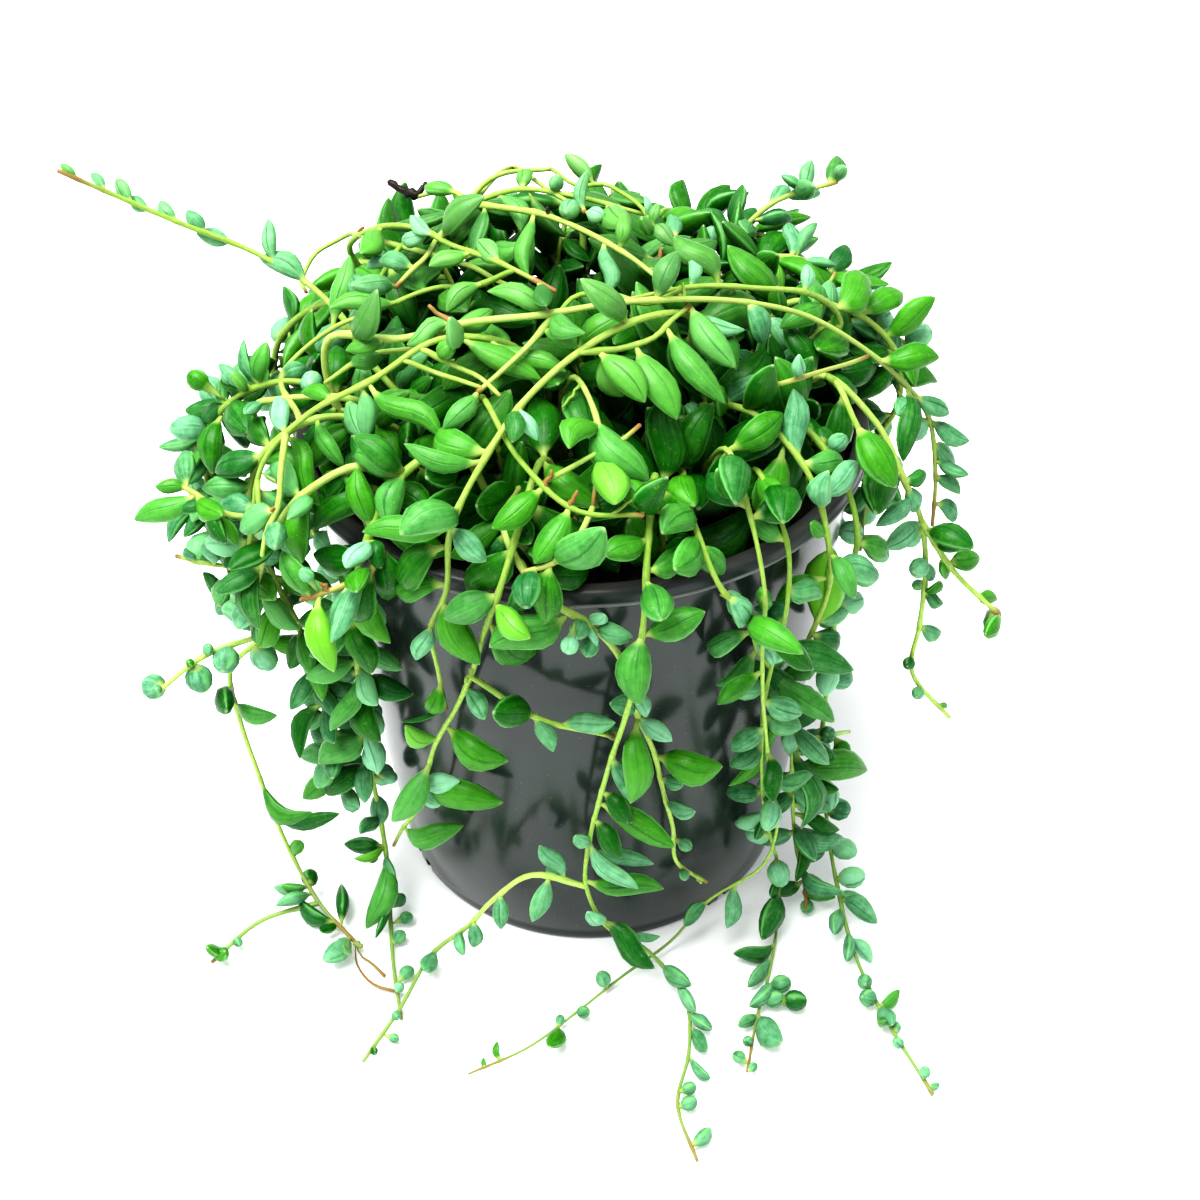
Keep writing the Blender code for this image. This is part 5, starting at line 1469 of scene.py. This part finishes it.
def stalk_surface(path, radii, dry, tone):
    """Return the places, faces and values of a stalk: a round profile carried along a path."""
    along, side, over = carried_frames(path)
    rings = len(path)
    angle = 2.0 * np.pi * np.arange(STALK_SIDES) / STALK_SIDES
    across, above = np.cos(angle), np.sin(angle)
    ring = across[None, :, None] * side[:, None] + above[None, :, None] * over[:, None]
    sleeve = path[:, None] + radii[:, None, None] * ring
    ends = np.stack((path[0] - 0.4 * radii[0] * along[0], path[-1] + 0.7 * radii[-1] * along[-1]))
    places = np.concatenate((sleeve.reshape(-1, 3), ends))
    places = np.clip(places, BOX_LOW + BOX_SPARE, BOX_HIGH - BOX_SPARE)
    run = run_along(path)

    def by_ring(values):
        """Return a value for every place from values by ring."""
        return np.concatenate((np.repeat(values, STALK_SIDES), values[[0, -1]]))

    across, above = (np.concatenate((np.tile(part, rings), (0.0, 0.0))) for part in (across, above))
    grain = np.stack((across, above, by_ring(run) * 0.05), axis=1)
    values = looks(len(places), share=by_ring(run / run[-1]), dry=by_ring(dry), grain=grain,
                   tone=np.full(len(places), tone))
    return places, sleeve_faces(rings, STALK_SIDES), cap_faces(rings, STALK_SIDES), values


def leafy_piece(name, stems, paths, finish, seed):
    """Return one piece with the stalks, leaves and dry stubs of a stem and of its side stems."""
    rng = np.random.default_rng(seed)
    surface = Surface()
    for stem in stems:
        path = paths[stem.name]
        share = run_along(path)
        share = share / share[-1]
        widths = STALK_FULLNESS * THIN_STEMS.get(stem.name, 1.0) * stem.radii()
        swelling = np.zeros(len(path))
        for leaf in stem.leaves:
            nearest = np.linalg.norm(path - leaf.base, axis=1)
            swelling = np.maximum(swelling, np.exp(-(nearest / NODE_REACH) ** 2))
        radii = widths[0] + (widths[-1] - widths[0]) * share
        radii = radii * (1.0 + NODE_SWELLING * swelling + STALK_VARIATION * rng.normal(size=len(path)))
        dry = np.clip((share - DRY_FROM) * 10.0, 0.0, 1.0) * rng.uniform(0.2, 0.9) + 0.2 * swelling
        tone = rng.random() * (THIN_TONE if stem.name in THIN_STEMS else 1.0)
        surface.add(*stalk_surface(path, radii, dry + stem.dryness, tone))
        for base, tip, radius, dryness in stem.stubs:
            places = np.linspace(0.0, 1.0, TWIG_POINTS)[:, None]
            kink = rng.normal(0.0, 0.35 * radius, (TWIG_POINTS, 3)) * np.sin(np.pi * places)
            twig = base + (tip - base) * places + kink
            narrow = radius * (1.0 - 0.35 * places[:, 0]) * rng.uniform(0.85, 1.15, TWIG_POINTS)
            surface.add(*stalk_surface(twig, narrow, np.full(TWIG_POINTS, dryness), rng.random()))
        for grid in (SLIM_GRID, BEAD_GRID):
            alike = [leaf for leaf in stem.leaves if leaf.is_bead() == (grid is BEAD_GRID)]
            if alike:
                surface.add(*leaf_surfaces(alike, grid, rng))
    return surface.piece(name, [finish])


class Wire:
    """A value in a shader. Sums and products of wires add their own Math nodes."""

    def __init__(self, finish, socket):
        self.finish = finish
        self.socket = socket

    def maths(self, operation, first, second):
        """Return the result of one Math node."""
        return self.finish.node("ShaderNodeMath", {"operation": operation}, {0: first, 1: second})

    def __add__(self, other):
        return self.maths("ADD", self, other)

    def __radd__(self, other):
        return self.maths("ADD", other, self)

    def __sub__(self, other):
        return self.maths("SUBTRACT", self, other)

    def __rsub__(self, other):
        return self.maths("SUBTRACT", other, self)

    def __mul__(self, other):
        return self.maths("MULTIPLY", self, other)

    def __rmul__(self, other):
        return self.maths("MULTIPLY", other, self)

    def above(self, low, high):
        """Return a smooth step of this value from 0 at low to 1 at high."""
        settings = {"interpolation_type": "SMOOTHSTEP"}
        inputs = {0: self, 1: low, 2: high, 3: 0.0, 4: 1.0}
        return self.finish.node("ShaderNodeMapRange", settings, inputs)


class Finish:
    """One material while it is put together."""

    def __init__(self, name):
        self.material = bpy.data.materials.new(name)
        self.material.use_nodes = True
        self.tree = self.material.node_tree
        self.shader = self.tree.nodes["Principled BSDF"]

    def feed(self, socket, value):
        """Link a wire to a socket, or set the socket to a plain value."""
        if isinstance(value, Wire):
            self.tree.links.new(value.socket, socket)
        else:
            socket.default_value = value

    def node(self, kind, settings, inputs, output=0):
        """Return one output of a new node: its settings are set first, then its sockets."""
        made = self.tree.nodes.new(kind)
        for name, value in settings.items():
            setattr(made, name, value)
        for name, value in inputs.items():
            self.feed(made.inputs[name], value)
        return Wire(self, made.outputs[output])

    def attribute(self, name, output="Fac"):
        """Return the piece's own value of a name."""
        return self.node("ShaderNodeAttribute", {"attribute_name": name}, {}, output)

    def place(self):
        """Return the place on the object, in metres."""
        return self.node("ShaderNodeTexCoord", {}, {}, "Object")

    def noise(self, vector, scale, detail=2.0, roughness=0.5):
        """Return cloudy noise from 0 to 1."""
        inputs = {"Vector": vector, "Scale": scale, "Detail": detail, "Roughness": roughness}
        return self.node("ShaderNodeTexNoise", {}, inputs)

    def mix(self, factor, first, second):
        """Return a colour between two colours."""
        return self.node("ShaderNodeMix", {"data_type": "RGBA"}, {0: factor, 6: first, 7: second}, 2)

    def stretch(self, vector, scale):
        """Return a vector with its three parts scaled."""
        return self.node("ShaderNodeVectorMath", {"operation": "MULTIPLY"}, {0: vector, 1: scale})

    def part(self, vector, axis):
        """Return one part of a vector: 0, 1 or 2."""
        return self.node("ShaderNodeSeparateXYZ", {}, {0: vector}, axis)

    def bump(self, height, distance, strength=1.0):
        """Raise the surface's normal by a height, over a distance in metres."""
        inputs = {"Height": height, "Distance": distance, "Strength": strength}
        self.feed(self.shader.inputs["Normal"], self.node("ShaderNodeBump", {}, inputs))

    def surface(self, **values):
        """Set the sockets of the surface by name, with spaces written as underscores."""
        for name, value in values.items():
            self.feed(self.shader.inputs[name.replace("_", " ")], value)
        return self.material


def plant_finish(name, colours):
    """Return the plant's finish: streaked leaves with a dark line, lime stalks, brown dry ends."""
    finish = Finish(name)
    leaf, share, above, across, tone, blue, dry = (finish.attribute(name) for name in LOOK_NAMES[:-1])
    grain = finish.attribute(LOOK_NAMES[-1], "Vector")
    place = finish.place()
    streaks = finish.noise(finish.stretch(grain, (4.0, 4.0, 1.6)), 1.0, 4.0, 0.7)
    mottle = finish.noise(place, 420.0, 3.0, 0.6)
    per_leaf = finish.noise(grain, 0.35, 0.0)
    speckle = finish.noise(place, 1500.0, 1.0)
    shade = tone * 0.74 + streaks * 1.05 + mottle * 0.60 - 0.73
    green = finish.mix(shade.above(0.0, 1.0), colours.deep_leaf, colours.bright_leaf)
    green = finish.mix(tone.above(1.0, 1.3) * 0.6, green, colours.lime_leaf)
    bloom = finish.mix((streaks * 0.60 + mottle * 0.55 + tone * 0.50).above(0.42, 1.12),
                       colours.deep_bead, colours.pale_bead)
    body = finish.mix(blue, green, bloom)
    height = finish.part(place, 2)
    # Leaves near the crown's top are mixed toward sage: partly paler leaves, partly painted light from
    # above
    high = height.above(0.160, 0.192) * (per_leaf * 1.1 - blue * 0.3) * 0.62
    body = finish.mix(high, body, colours.pale_and_lit_leaf)
    # Pale rims along the leaf's sides: partly the leaf's waxy bloom, partly painted sheen where the sides
    # turn away
    edge = (across * across).above(0.74, 1.0) * share.above(0.10, 0.30)
    body = finish.mix(edge * 0.52, body, colours.bloom_and_sheen_edge)
    line = above.above(0.955, 0.995) * share.above(0.16, 0.30) * (1.0 - share.above(0.90, 0.99))
    body = finish.mix(line * per_leaf.above(0.40, 0.62) * 0.62, body, colours.leaf_line)
    neck = (1.0 - share.above(0.01, 0.15)) * 0.8
    body = finish.mix(neck, body, colours.stalk)
    tip = share.above(0.955, 1.0) * 0.55
    body = finish.mix(tip, body, colours.leaf_tip)
    wood = finish.noise(finish.stretch(grain, (2.0, 2.0, 14.0)), 1.0, 3.0)
    stalk = finish.mix((wood * 0.8 + tone * 0.35).above(0.25, 0.85), colours.stalk_shade, colours.stalk)
    low_stalk = finish.mix((wood * 0.9 + tone * 0.2).above(0.25, 0.85),
                           colours.low_stalk_shade, colours.low_stalk)
    hangs = height.above(0.008, 0.024) * (1.0 - height.above(0.085, 0.140))
    stalk = finish.mix(hangs, stalk, low_stalk)
    stalk = finish.mix((1.0 - height.above(0.002, 0.022)) * 0.75, stalk, colours.floor_stalk)
    stalk = finish.mix((dry + mottle * 0.25 - 0.12).above(0.12, 0.8), stalk, colours.dry_stalk)
    stalk = finish.mix(dry.above(1.1, 1.7), stalk, colours.dead_stalk)
    colour = finish.mix(leaf, stalk, body)
    colour = finish.mix(speckle.above(0.66, 0.74) * 0.12, colour, colours.leaf_tip)
    rough = 0.31 + mottle * 0.16 + blue * 0.16 + (1.0 - leaf) * 0.10
    finish.bump(streaks * 0.6 + speckle * 0.2 - line * 0.8, 0.00025, 0.5)
    return finish.surface(Base_Color=colour, Roughness=rough, Coat_Weight=0.05, Coat_Roughness=0.2,
                          Specular_IOR_Level=0.20)


def pot_finish(name, colours):
    """Return the pot's finish: smooth black plastic with faint scuffs and dust, a lighter lip top, a
    painted highlight along the lip's lower edge, painted shade towards the foot, and two holes painted as
    dark spots.
    """
    finish = Finish(name)
    place = finish.place()
    height = finish.part(place, 2)
    cloud = finish.noise(place, 14.0, 4.0, 0.6)
    smear = finish.noise(finish.stretch(place, (1.0, 1.0, 0.12)), 90.0, 3.0)
    scratch = finish.noise(finish.stretch(place, (1.0, 1.0, 9.0)), 60.0, 4.0, 0.7)
    dust = finish.noise(place, 1400.0, 2.0)
    lip = height.above(0.1338, 0.1350)
    colour = finish.mix(cloud.above(0.3, 0.75), colours.wall, colours.wall_light)
    # Painted shade: the wall darkens towards its foot
    colour = finish.mix((1.0 - height.above(0.0, 0.085)) * 0.7, colour, colours.shaded_wall_foot)
    colour = finish.mix(lip * 0.8, colour, colours.lip)
    # Painted highlight: a thin light line along the lip's lower edge
    edge = height.above(0.1308, 0.1311) * (1.0 - height.above(0.1315, 0.1320))
    colour = finish.mix(edge * 0.8, colour, colours.edge)
    # The two holes are painted as dark spots of shade in place of a cut
    for x, y, z, radius in HOLE_SHADE_SPOTS:
        apart = finish.node("ShaderNodeVectorMath", {"operation": "DISTANCE"}, {0: place, 1: (x, y, z)}, 1)
        colour = finish.mix(1.0 - apart.above(0.5 * radius, radius), colour, colours.mark)
    colour = finish.mix(dust.above(0.70, 0.76) * 0.45, colour, colours.dust)
    skirt = height.above(0.1309, 0.1313)
    rough = 0.115 + cloud * 0.07 + smear * 0.05 + skirt * 0.20
    finish.bump(scratch * 0.5 + smear * 0.5 + dust * 0.2, 0.00012, 0.25)
    return finish.surface(Base_Color=colour, Roughness=rough, Specular_IOR_Level=0.37)


def soil_finish(name, colours):
    """Return the soil's finish: dark peat with brown fibre and a few pale grains."""
    finish = Finish(name)
    place = finish.place()
    crumb = finish.noise(place, 420.0, 4.0, 0.7)
    fibre = finish.noise(finish.stretch(place, (1.0, 0.25, 1.0)), 900.0, 2.0)
    grit = finish.noise(place, 900.0, 1.0)
    colour = finish.mix(crumb.above(0.35, 0.7), colours.dark, colours.brown)
    colour = finish.mix(fibre.above(0.62, 0.72) * 0.5, colour, colours.fibre)
    colour = finish.mix(grit.above(0.72, 0.78) * 0.6, colour, colours.grit)
    finish.bump(crumb + fibre * 0.4, 0.0012, 0.8)
    return finish.surface(Base_Color=colour, Roughness=0.7 + crumb * 0.3)


def floor_finish(name, colour, glow):
    """Return the floor's finish: even, matt and pale, with a little light of its own."""
    finish = Finish(name)
    cloud = finish.noise(finish.place(), 3.0, 2.0)
    return finish.surface(Base_Color=finish.mix(cloud, colour, (0.86, 0.87, 0.87, 1.0)), Roughness=0.7,
                          Emission_Color=(1.0, 1.0, 1.0, 1.0), Emission_Strength=glow)


def colour_property(name, description, default):
    """Return a colour setting."""
    return bpy.props.FloatVectorProperty(name=name, description=description, default=(*default, 1.0),
                                         size=4, min=0.0, max=1.0, subtype="COLOR")


def number_property(name, description, default, low, high, **kind):
    """Return a number setting. Its kind is a unit or a subtype, where one fits."""
    return bpy.props.FloatProperty(name=name, description=description, default=default,
                                   min=low, max=high, **kind)


class PlantSettings(bpy.types.PropertyGroup):
    """Colours of the stalks and leaves."""

    bright_leaf: colour_property("Bright leaf", "The lightest green of a large leaf", (0.064, 0.268, 0.015))
    deep_leaf: colour_property("Deep leaf", "The darkest green of a large leaf", (0.002, 0.088, 0.002))
    lime_leaf: colour_property("Lime leaf", "The yellow green of the youngest leaves", (0.165, 0.42, 0.028))
    # Partly paler leaves near the top, partly painted light from above
    pale_and_lit_leaf: colour_property("Pale leaf", "The sage green of leaves near the top", (0.23, 0.44, 0.155))
    pale_bead: colour_property("Pale bead", "The lightest blue green of a small leaf", (0.23, 0.50, 0.30))
    deep_bead: colour_property("Deep bead", "The darkest blue green of a small leaf", (0.018, 0.135, 0.048))
    leaf_line: colour_property("Leaf line", "The dark line along a leaf", (0.008, 0.075, 0.012))
    # Partly the waxy bloom, partly painted sheen
    bloom_and_sheen_edge: colour_property("Leaf edge", "The thin pale edge of a leaf", (0.22, 0.56, 0.17))
    leaf_tip: colour_property("Leaf tip", "The pale point of a leaf", (0.46, 0.55, 0.30))
    stalk: colour_property("Stalk", "The lit yellow green of a stalk", (0.350, 0.460, 0.125))
    stalk_shade: colour_property("Stalk shade", "The duller green of a stalk", (0.19, 0.34, 0.045))
    low_stalk: colour_property("Low stalk", "The lit green of a hanging stalk", (0.47, 0.63, 0.17))
    low_stalk_shade: colour_property("Low stalk shade", "The duller green of a hanging stalk",
                                     (0.22, 0.40, 0.06))
    floor_stalk: colour_property("Floor stalk", "The olive green of a floor stalk", (0.19, 0.30, 0.09))
    dry_stalk: colour_property("Dry stalk", "The tan brown of a dry end", (0.25, 0.145, 0.05))
    dead_stalk: colour_property("Dead stalk", "The near black of a dead end", (0.020, 0.014, 0.010))


class PotSettings(bpy.types.PropertyGroup):
    """Sizes and colours of the pot."""

    lip_bead: number_property("Lip bead", "How far the lip's lower edge stands out",
                              0.00035, 0.0, 0.001, unit="LENGTH")
    wall: colour_property("Wall", "The plastic of the wall", (0.020, 0.030, 0.026))
    wall_light: colour_property("Wall, lighter", "The wall where it is scuffed", (0.037, 0.050, 0.044))
    # Painted shade at the foot of the wall
    shaded_wall_foot: colour_property("Low wall", "The darker foot of the wall", (0.004, 0.009, 0.007))
    # The top of the lip is painted lighter
    lip: colour_property("Lip", "The worn top of the lip", (0.070, 0.066, 0.062))
    # A painted highlight along the lip's lower edge
    edge: colour_property("Edge", "The light line along the lip's lower edge", (0.26, 0.27, 0.26))
    # Painted shade: the dark spots that stand for two small holes
    mark: colour_property("Mark", "The small marks low on the wall", (0.030, 0.010, 0.006))
    dust: colour_property("Dust", "Specks of dust", (0.20, 0.20, 0.19))


class SoilSettings(bpy.types.PropertyGroup):
    """Sizes and colours of the soil."""

    lump_height: number_property("Lump height", "How high the soil's lumps rise",
                                 0.0022, 0.0, 0.004, unit="LENGTH")
    dark: colour_property("Dark", "Wet peat", (0.010, 0.007, 0.005))
    brown: colour_property("Brown", "Drier peat", (0.050, 0.027, 0.014))
    fibre: colour_property("Fibre", "Fine roots and bark", (0.16, 0.09, 0.045))
    grit: colour_property("Grit", "Pale grains", (0.30, 0.27, 0.22))


class StageSettings(bpy.types.PropertyGroup):
    """The floor, the light and the camera."""

    floor: colour_property("Floor", "The pale floor", (0.90, 0.90, 0.90))
    floor_glow: number_property("Floor glow", "Light that the floor gives off", 0.11, 0.0, 1.0)
    surround: number_property("Surround", "Strength of the white surround", 0.74, 0.0, 5.0)
    top_light: number_property("Top light", "Power of the soft light overhead",
                               28.0, 0.0, 200.0, unit="POWER")
    distance: number_property("Distance", "From the camera to the pot's middle",
                              VIEW_DISTANCE * MM, 0.2, 2.0, unit="LENGTH")
    elevation: number_property("Elevation", "How far the camera looks down",
                               math.radians(VIEW_ELEVATION), 0.0, 1.5, subtype="ANGLE")
    roll: number_property("Roll", "How far the camera is turned about its view",
                          math.radians(VIEW_ROLL), -0.2, 0.2, subtype="ANGLE")


def turned_surface(profile, steps):
    """Return the places and faces of a profile of radius and height, turned about the axis."""
    profile = np.array(profile)
    angle = 2.0 * np.pi * np.arange(steps) / steps
    ring = np.stack((np.cos(angle), np.sin(angle)), -1)
    sleeve = np.empty((len(profile), steps, 3))
    sleeve[..., :2] = profile[:, 0, None, None] * ring
    sleeve[..., 2] = profile[:, 1, None]
    return sleeve.reshape(-1, 3), sleeve_faces(len(profile), steps)


def box_surface(centre, size, azimuth):
    """Return the places and faces of a box turned about the vertical axis."""
    corners = np.array([(x, y, z) for x in (-1, 1) for y in (-1, 1) for z in (-1, 1)]) * 0.5
    corners = corners * np.array(size)
    angle = math.radians(azimuth)
    turn = np.array(((math.cos(angle), math.sin(angle), 0.0), (-math.sin(angle), math.cos(angle), 0.0),
                     (0.0, 0.0, 1.0)))
    quads = np.array(((0, 1, 3, 2), (4, 6, 7, 5), (0, 4, 5, 1), (2, 3, 7, 6), (0, 2, 6, 4), (1, 5, 7, 3)))
    return corners @ turn + centre, quads


def settled(item):
    """Apply an object's modifiers to its mesh."""
    graph = bpy.context.evaluated_depsgraph_get()
    graph.update()
    mesh = bpy.data.meshes.new_from_object(item.evaluated_get(graph))
    item.modifiers.clear()
    old = item.data
    item.data = mesh
    bpy.data.meshes.remove(old)


def pot_profile(bead):
    """Return the pot's profile of radii and heights: its floor, inner wall, lip, wall and foot."""
    skirt_foot = POT_HEIGHT - SKIRT_HEIGHT
    inner_rim = RIM_RADIUS - RIM_WIDTH
    return (
        (0.01, FLOOR_THICKNESS), (30.0, FLOOR_THICKNESS), (BASE_RADIUS - WALL - 0.5, FLOOR_THICKNESS),
        (WALL_TOP_RADIUS - WALL, skirt_foot - 1.0), (inner_rim, POT_HEIGHT - 0.7),
        (inner_rim + 0.12, POT_HEIGHT - 0.3), (inner_rim + 0.45, POT_HEIGHT - 0.05),
        (inner_rim + 1.0, POT_HEIGHT), (RIM_RADIUS - 1.3, POT_HEIGHT - 0.05),
        (RIM_RADIUS - 0.6, POT_HEIGHT - 0.3), (RIM_RADIUS - 0.2, POT_HEIGHT - 0.8),
        (RIM_RADIUS - 0.05, POT_HEIGHT - 1.4), (RIM_RADIUS - 0.02, skirt_foot + 0.9),
        (RIM_RADIUS + 0.6 * bead, skirt_foot + 0.65), (RIM_RADIUS + bead, skirt_foot + 0.35),
        (RIM_RADIUS + 0.7 * bead, skirt_foot + 0.08), (RIM_RADIUS, skirt_foot),
        (RIM_RADIUS - 0.7, skirt_foot), (RIM_RADIUS - 0.9, skirt_foot + 0.5),
        (WALL_TOP_RADIUS + 0.1, skirt_foot + 0.5), (WALL_TOP_RADIUS, skirt_foot),
        (WALL_TOP_RADIUS - 0.05, skirt_foot - 0.5), (wall_radius(80.0), 80.0), (wall_radius(30.0), 30.0),
        (wall_radius(5.3), 5.3), (wall_radius(5.0) - 0.18, 4.9), (wall_radius(3.0) - 0.18, 3.0),
        (BASE_RADIUS - 0.1, 1.2), (BASE_RADIUS - 0.4, 0.5), (BASE_RADIUS - 1.2, 0.05),
        (BASE_RADIUS - 2.0, 0.0), (BASE_RADIUS - 6.0, 0.0), (BASE_RADIUS - 7.0, FOOT_HOLLOW),
        (30.0, FOOT_HOLLOW), (0.01, FOOT_HOLLOW),
    )


class PLANT_OT_pot(bpy.types.Operator):
    """Make the tapered plastic pot with its rolled lip and the notches at its foot"""

    bl_idname = "plant.make_pot"
    bl_label = "Pot"

    def execute(self, context):
        """Build the pot and let it stand for its plain solid."""
        settings = context.scene.plant_pot
        profile = pot_profile(settings.lip_bead / MM)
        surface = Surface()
        places, quads = turned_surface(profile, POT_STEPS)
        ends = np.array(((0.0, 0.0, FLOOR_THICKNESS), (0.0, 0.0, FOOT_HOLLOW)))
        surface.add(np.concatenate((places, ends)), quads, cap_faces(len(profile), POT_STEPS))
        pot = surface.piece("nursery_pot", [pot_finish("black_plastic", settings)])
        blocks = Surface()
        for azimuth in NOTCH_AZIMUTHS:
            for side_turn in (-1, 1):
                angle = azimuth + side_turn * NOTCH_HALF_STEP
                centre = polar(angle, BASE_RADIUS, 0.5 * NOTCH_SIZE[2] - 0.5)
                blocks.add(*box_surface(centre, NOTCH_SIZE, angle))
        cutter = blocks.piece("notch_blocks", [])
        cut = pot.modifiers.new("notches", "BOOLEAN")
        cut.operation = "DIFFERENCE"
        cut.object = cutter
        cut.solver = "EXACT"
        settled(pot)
        bpy.data.objects.remove(cutter)
        pot.data.shade_smooth()
        pot.data.set_sharp_from_angle(angle=math.radians(40.0))
        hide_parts("pot")
        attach(pot, "root")
        return {"FINISHED"}


class PLANT_OT_soil(bpy.types.Operator):
    """Make the lumpy soil that fills the pot"""

    bl_idname = "plant.make_soil"
    bl_label = "Soil"

    def execute(self, context):
        """Build the soil and let it stand for its plain solid."""
        settings = context.scene.plant_soil
        rng = np.random.default_rng(SEED + 20)
        foot = FLOOR_THICKNESS + SOIL_GAP
        top = POT_HEIGHT - SKIRT_HEIGHT - 1.0

        def soil_radius(height):
            """Return the soil's radius at a height, a little inside the pot's wall."""
            low = BASE_RADIUS - WALL - 0.5
            share = (height - FLOOR_THICKNESS) / (top - FLOOR_THICKNESS)
            return low + (WALL_TOP_RADIUS - WALL - low) * share - 3.0 * SOIL_GAP

        outer = soil_radius(SOIL_TOP)
        rings, steps = SOIL_GRID
        radii = (*np.linspace(0.6, outer, rings), soil_radius(60.0), soil_radius(foot), 0.6)
        heights = np.concatenate((np.full(rings, SOIL_TOP), (60.0, foot, foot)))
        places, quads = turned_surface(np.stack((radii, heights), -1), steps)
        grid = places.reshape(len(radii), steps, 3)
        lumps = np.zeros((rings, steps))
        x, y = grid[:rings, :, 0], grid[:rings, :, 1]
        for size, height in SOIL_WAVES:
            for _ in range(5):
                turn, phase = rng.uniform(0.0, 2.0 * np.pi, 2)
                across = x * np.cos(turn) + y * np.sin(turn)
                lumps += height * np.sin(across * 2 * np.pi / size / 1.7 + phase)
        lumps = lumps / np.abs(lumps).max() * settings.lump_height / MM
        grid[:rings, :, 2] += lumps - 0.2 * settings.lump_height / MM
        ends = np.array((grid[0].mean(0), (0.0, 0.0, foot)))
        fans = cap_faces(len(radii), steps)
        surface = Surface()
        surface.add(np.concatenate((grid.reshape(-1, 3), ends)), quads[:, ::-1], fans[:, ::-1])
        soil = surface.piece("potting_soil", [soil_finish("peat", settings)])
        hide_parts("soil")
        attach(soil, "root")
        return {"FINISHED"}


class PLANT_OT_strands(bpy.types.Operator):
    """Make the leafy strands, one piece for each plain leafy stem"""

    bl_idname = "plant.make_strands"
    bl_label = "Leafy strands"

    def execute(self, context):
        """Build each strand and let it stand for its plain solid."""
        stems, paths = grown_plant()
        finish = plant_finish("succulent", context.scene.plant_leaves)
        for main in [stem for stem in stems if not stem.is_side]:
            family = [stem for stem in stems if stem.group == main.group]
            piece = leafy_piece(main.name + "_strand", family, paths, finish, SEED + 700 + main.group)
            is_small = main.leaf_end < BLUE_GREEN_BELOW
            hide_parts("stem_" + main.name)
            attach(piece, "root")
        return {"FINISHED"}


def area_light(name, place, size, power, target):
    """Add a soft square light at a place, facing a target."""
    light = bpy.data.lights.new(name, "AREA")
    light.shape = "SQUARE"
    light.size = size
    light.energy = power
    made = bpy.data.objects.new(name, light)
    made.location = place
    made.rotation_euler = facing(place, target).to_euler()
    bpy.context.scene.collection.objects.link(made)


def facing(place, target):
    """Return the rotation that points an object's -Z axis from a place to a target."""
    return (Vector(target) - Vector(place)).to_track_quat("-Z", "Y")


# The stage: the floor in millimetres, the light and the camera's aim in metres
FLOOR_REACH = 6000.0
FLOOR_DROP = 0.05
SURROUND_COLOUR = (0.97, 0.985, 1.0, 1.0)
LIGHT_PLACE = (-0.28, -0.22, 1.25)
LIGHT_SIZE = 0.85
AIM = tuple(VIEW_AIM * MM)


class PLANT_OT_stage(bpy.types.Operator):
    """Set up the pale floor, the soft light and the camera"""

    bl_idname = "plant.make_stage"
    bl_label = "Stage"

    def execute(self, context):
        """Build the floor, the surround, the lights and the camera."""
        settings = context.scene.plant_stage
        corners = np.array(((-1, -1, 0), (1, -1, 0), (1, 1, 0), (-1, 1, 0))) * FLOOR_REACH
        surface = Surface()
        surface.add(corners - FLOOR_DROP * UPWARD, np.array(((0, 1, 2, 3),)))
        finish = floor_finish("matt_floor", settings.floor, settings.floor_glow)
        floor = surface.piece("pale_floor", [finish], False)
        world = bpy.data.worlds.new("white_surround")
        world.use_nodes = True
        background = world.node_tree.nodes["Background"]
        background.inputs["Color"].default_value = SURROUND_COLOUR
        background.inputs["Strength"].default_value = settings.surround
        context.scene.world = world
        area_light("top_light", LIGHT_PLACE, LIGHT_SIZE, settings.top_light, AIM)
        camera = bpy.data.cameras.new("camera")
        camera.lens = LENS
        camera.sensor_width = SENSOR
        camera.clip_start = 0.01
        back = (0.0, -math.cos(settings.elevation), math.sin(settings.elevation))
        place = tuple(aim + settings.distance * part for aim, part in zip(AIM, back))
        made = bpy.data.objects.new("camera", camera)
        made.location = place
        turn = facing(place, AIM)
        made.rotation_euler = (turn @ Quaternion((0.0, 0.0, 1.0), -settings.roll)).to_euler()
        context.scene.collection.objects.link(made)
        context.scene.camera = made
        context.scene.view_settings.view_transform = "Standard"
        context.scene.view_settings.look = "High Contrast"
        return {"FINISHED"}


class PLANT_PT_panel(bpy.types.Panel):
    """Lists the pieces and their settings"""

    bl_idname = "PLANT_PT_panel"
    bl_label = "Potted string of watermelons"
    bl_space_type = "VIEW_3D"
    bl_region_type = "UI"
    bl_category = "Plant"

    def draw(self, context):
        """Draw a button for each operator, with its settings below."""
        scene = context.scene
        groups = {
            "plant.make_pot": scene.plant_pot,
            "plant.make_soil": scene.plant_soil,
            "plant.make_strands": scene.plant_leaves,
            "plant.make_stage": scene.plant_stage,
        }
        for operator, settings in groups.items():
            box = self.layout.box()
            box.operator(operator)
            for name in settings.__annotations__:
                box.prop(settings, name)


SETTINGS = {
    "plant_leaves": PlantSettings,
    "plant_pot": PotSettings,
    "plant_soil": SoilSettings,
    "plant_stage": StageSettings,
}
OPERATORS = (PLANT_OT_stage, PLANT_OT_pot, PLANT_OT_soil, PLANT_OT_strands)


def register():
    """Register the settings, the operators and the panel."""
    for name, group in SETTINGS.items():
        bpy.utils.register_class(group)
        setattr(bpy.types.Scene, name, bpy.props.PointerProperty(type=group))
    for kind in (*OPERATORS, PLANT_PT_panel):
        bpy.utils.register_class(kind)


def unregister():
    """Take back all that register added."""
    for kind in reversed((*OPERATORS, PLANT_PT_panel)):
        bpy.utils.unregister_class(kind)
    for name, group in reversed(SETTINGS.items()):
        delattr(bpy.types.Scene, name)
        bpy.utils.unregister_class(group)


def main():
    register()
    for kind in OPERATORS:
        group, name = kind.bl_idname.split(".")
        getattr(getattr(bpy.ops, group), name)()
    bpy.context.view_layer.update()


if __name__ == "__main__":
    main()
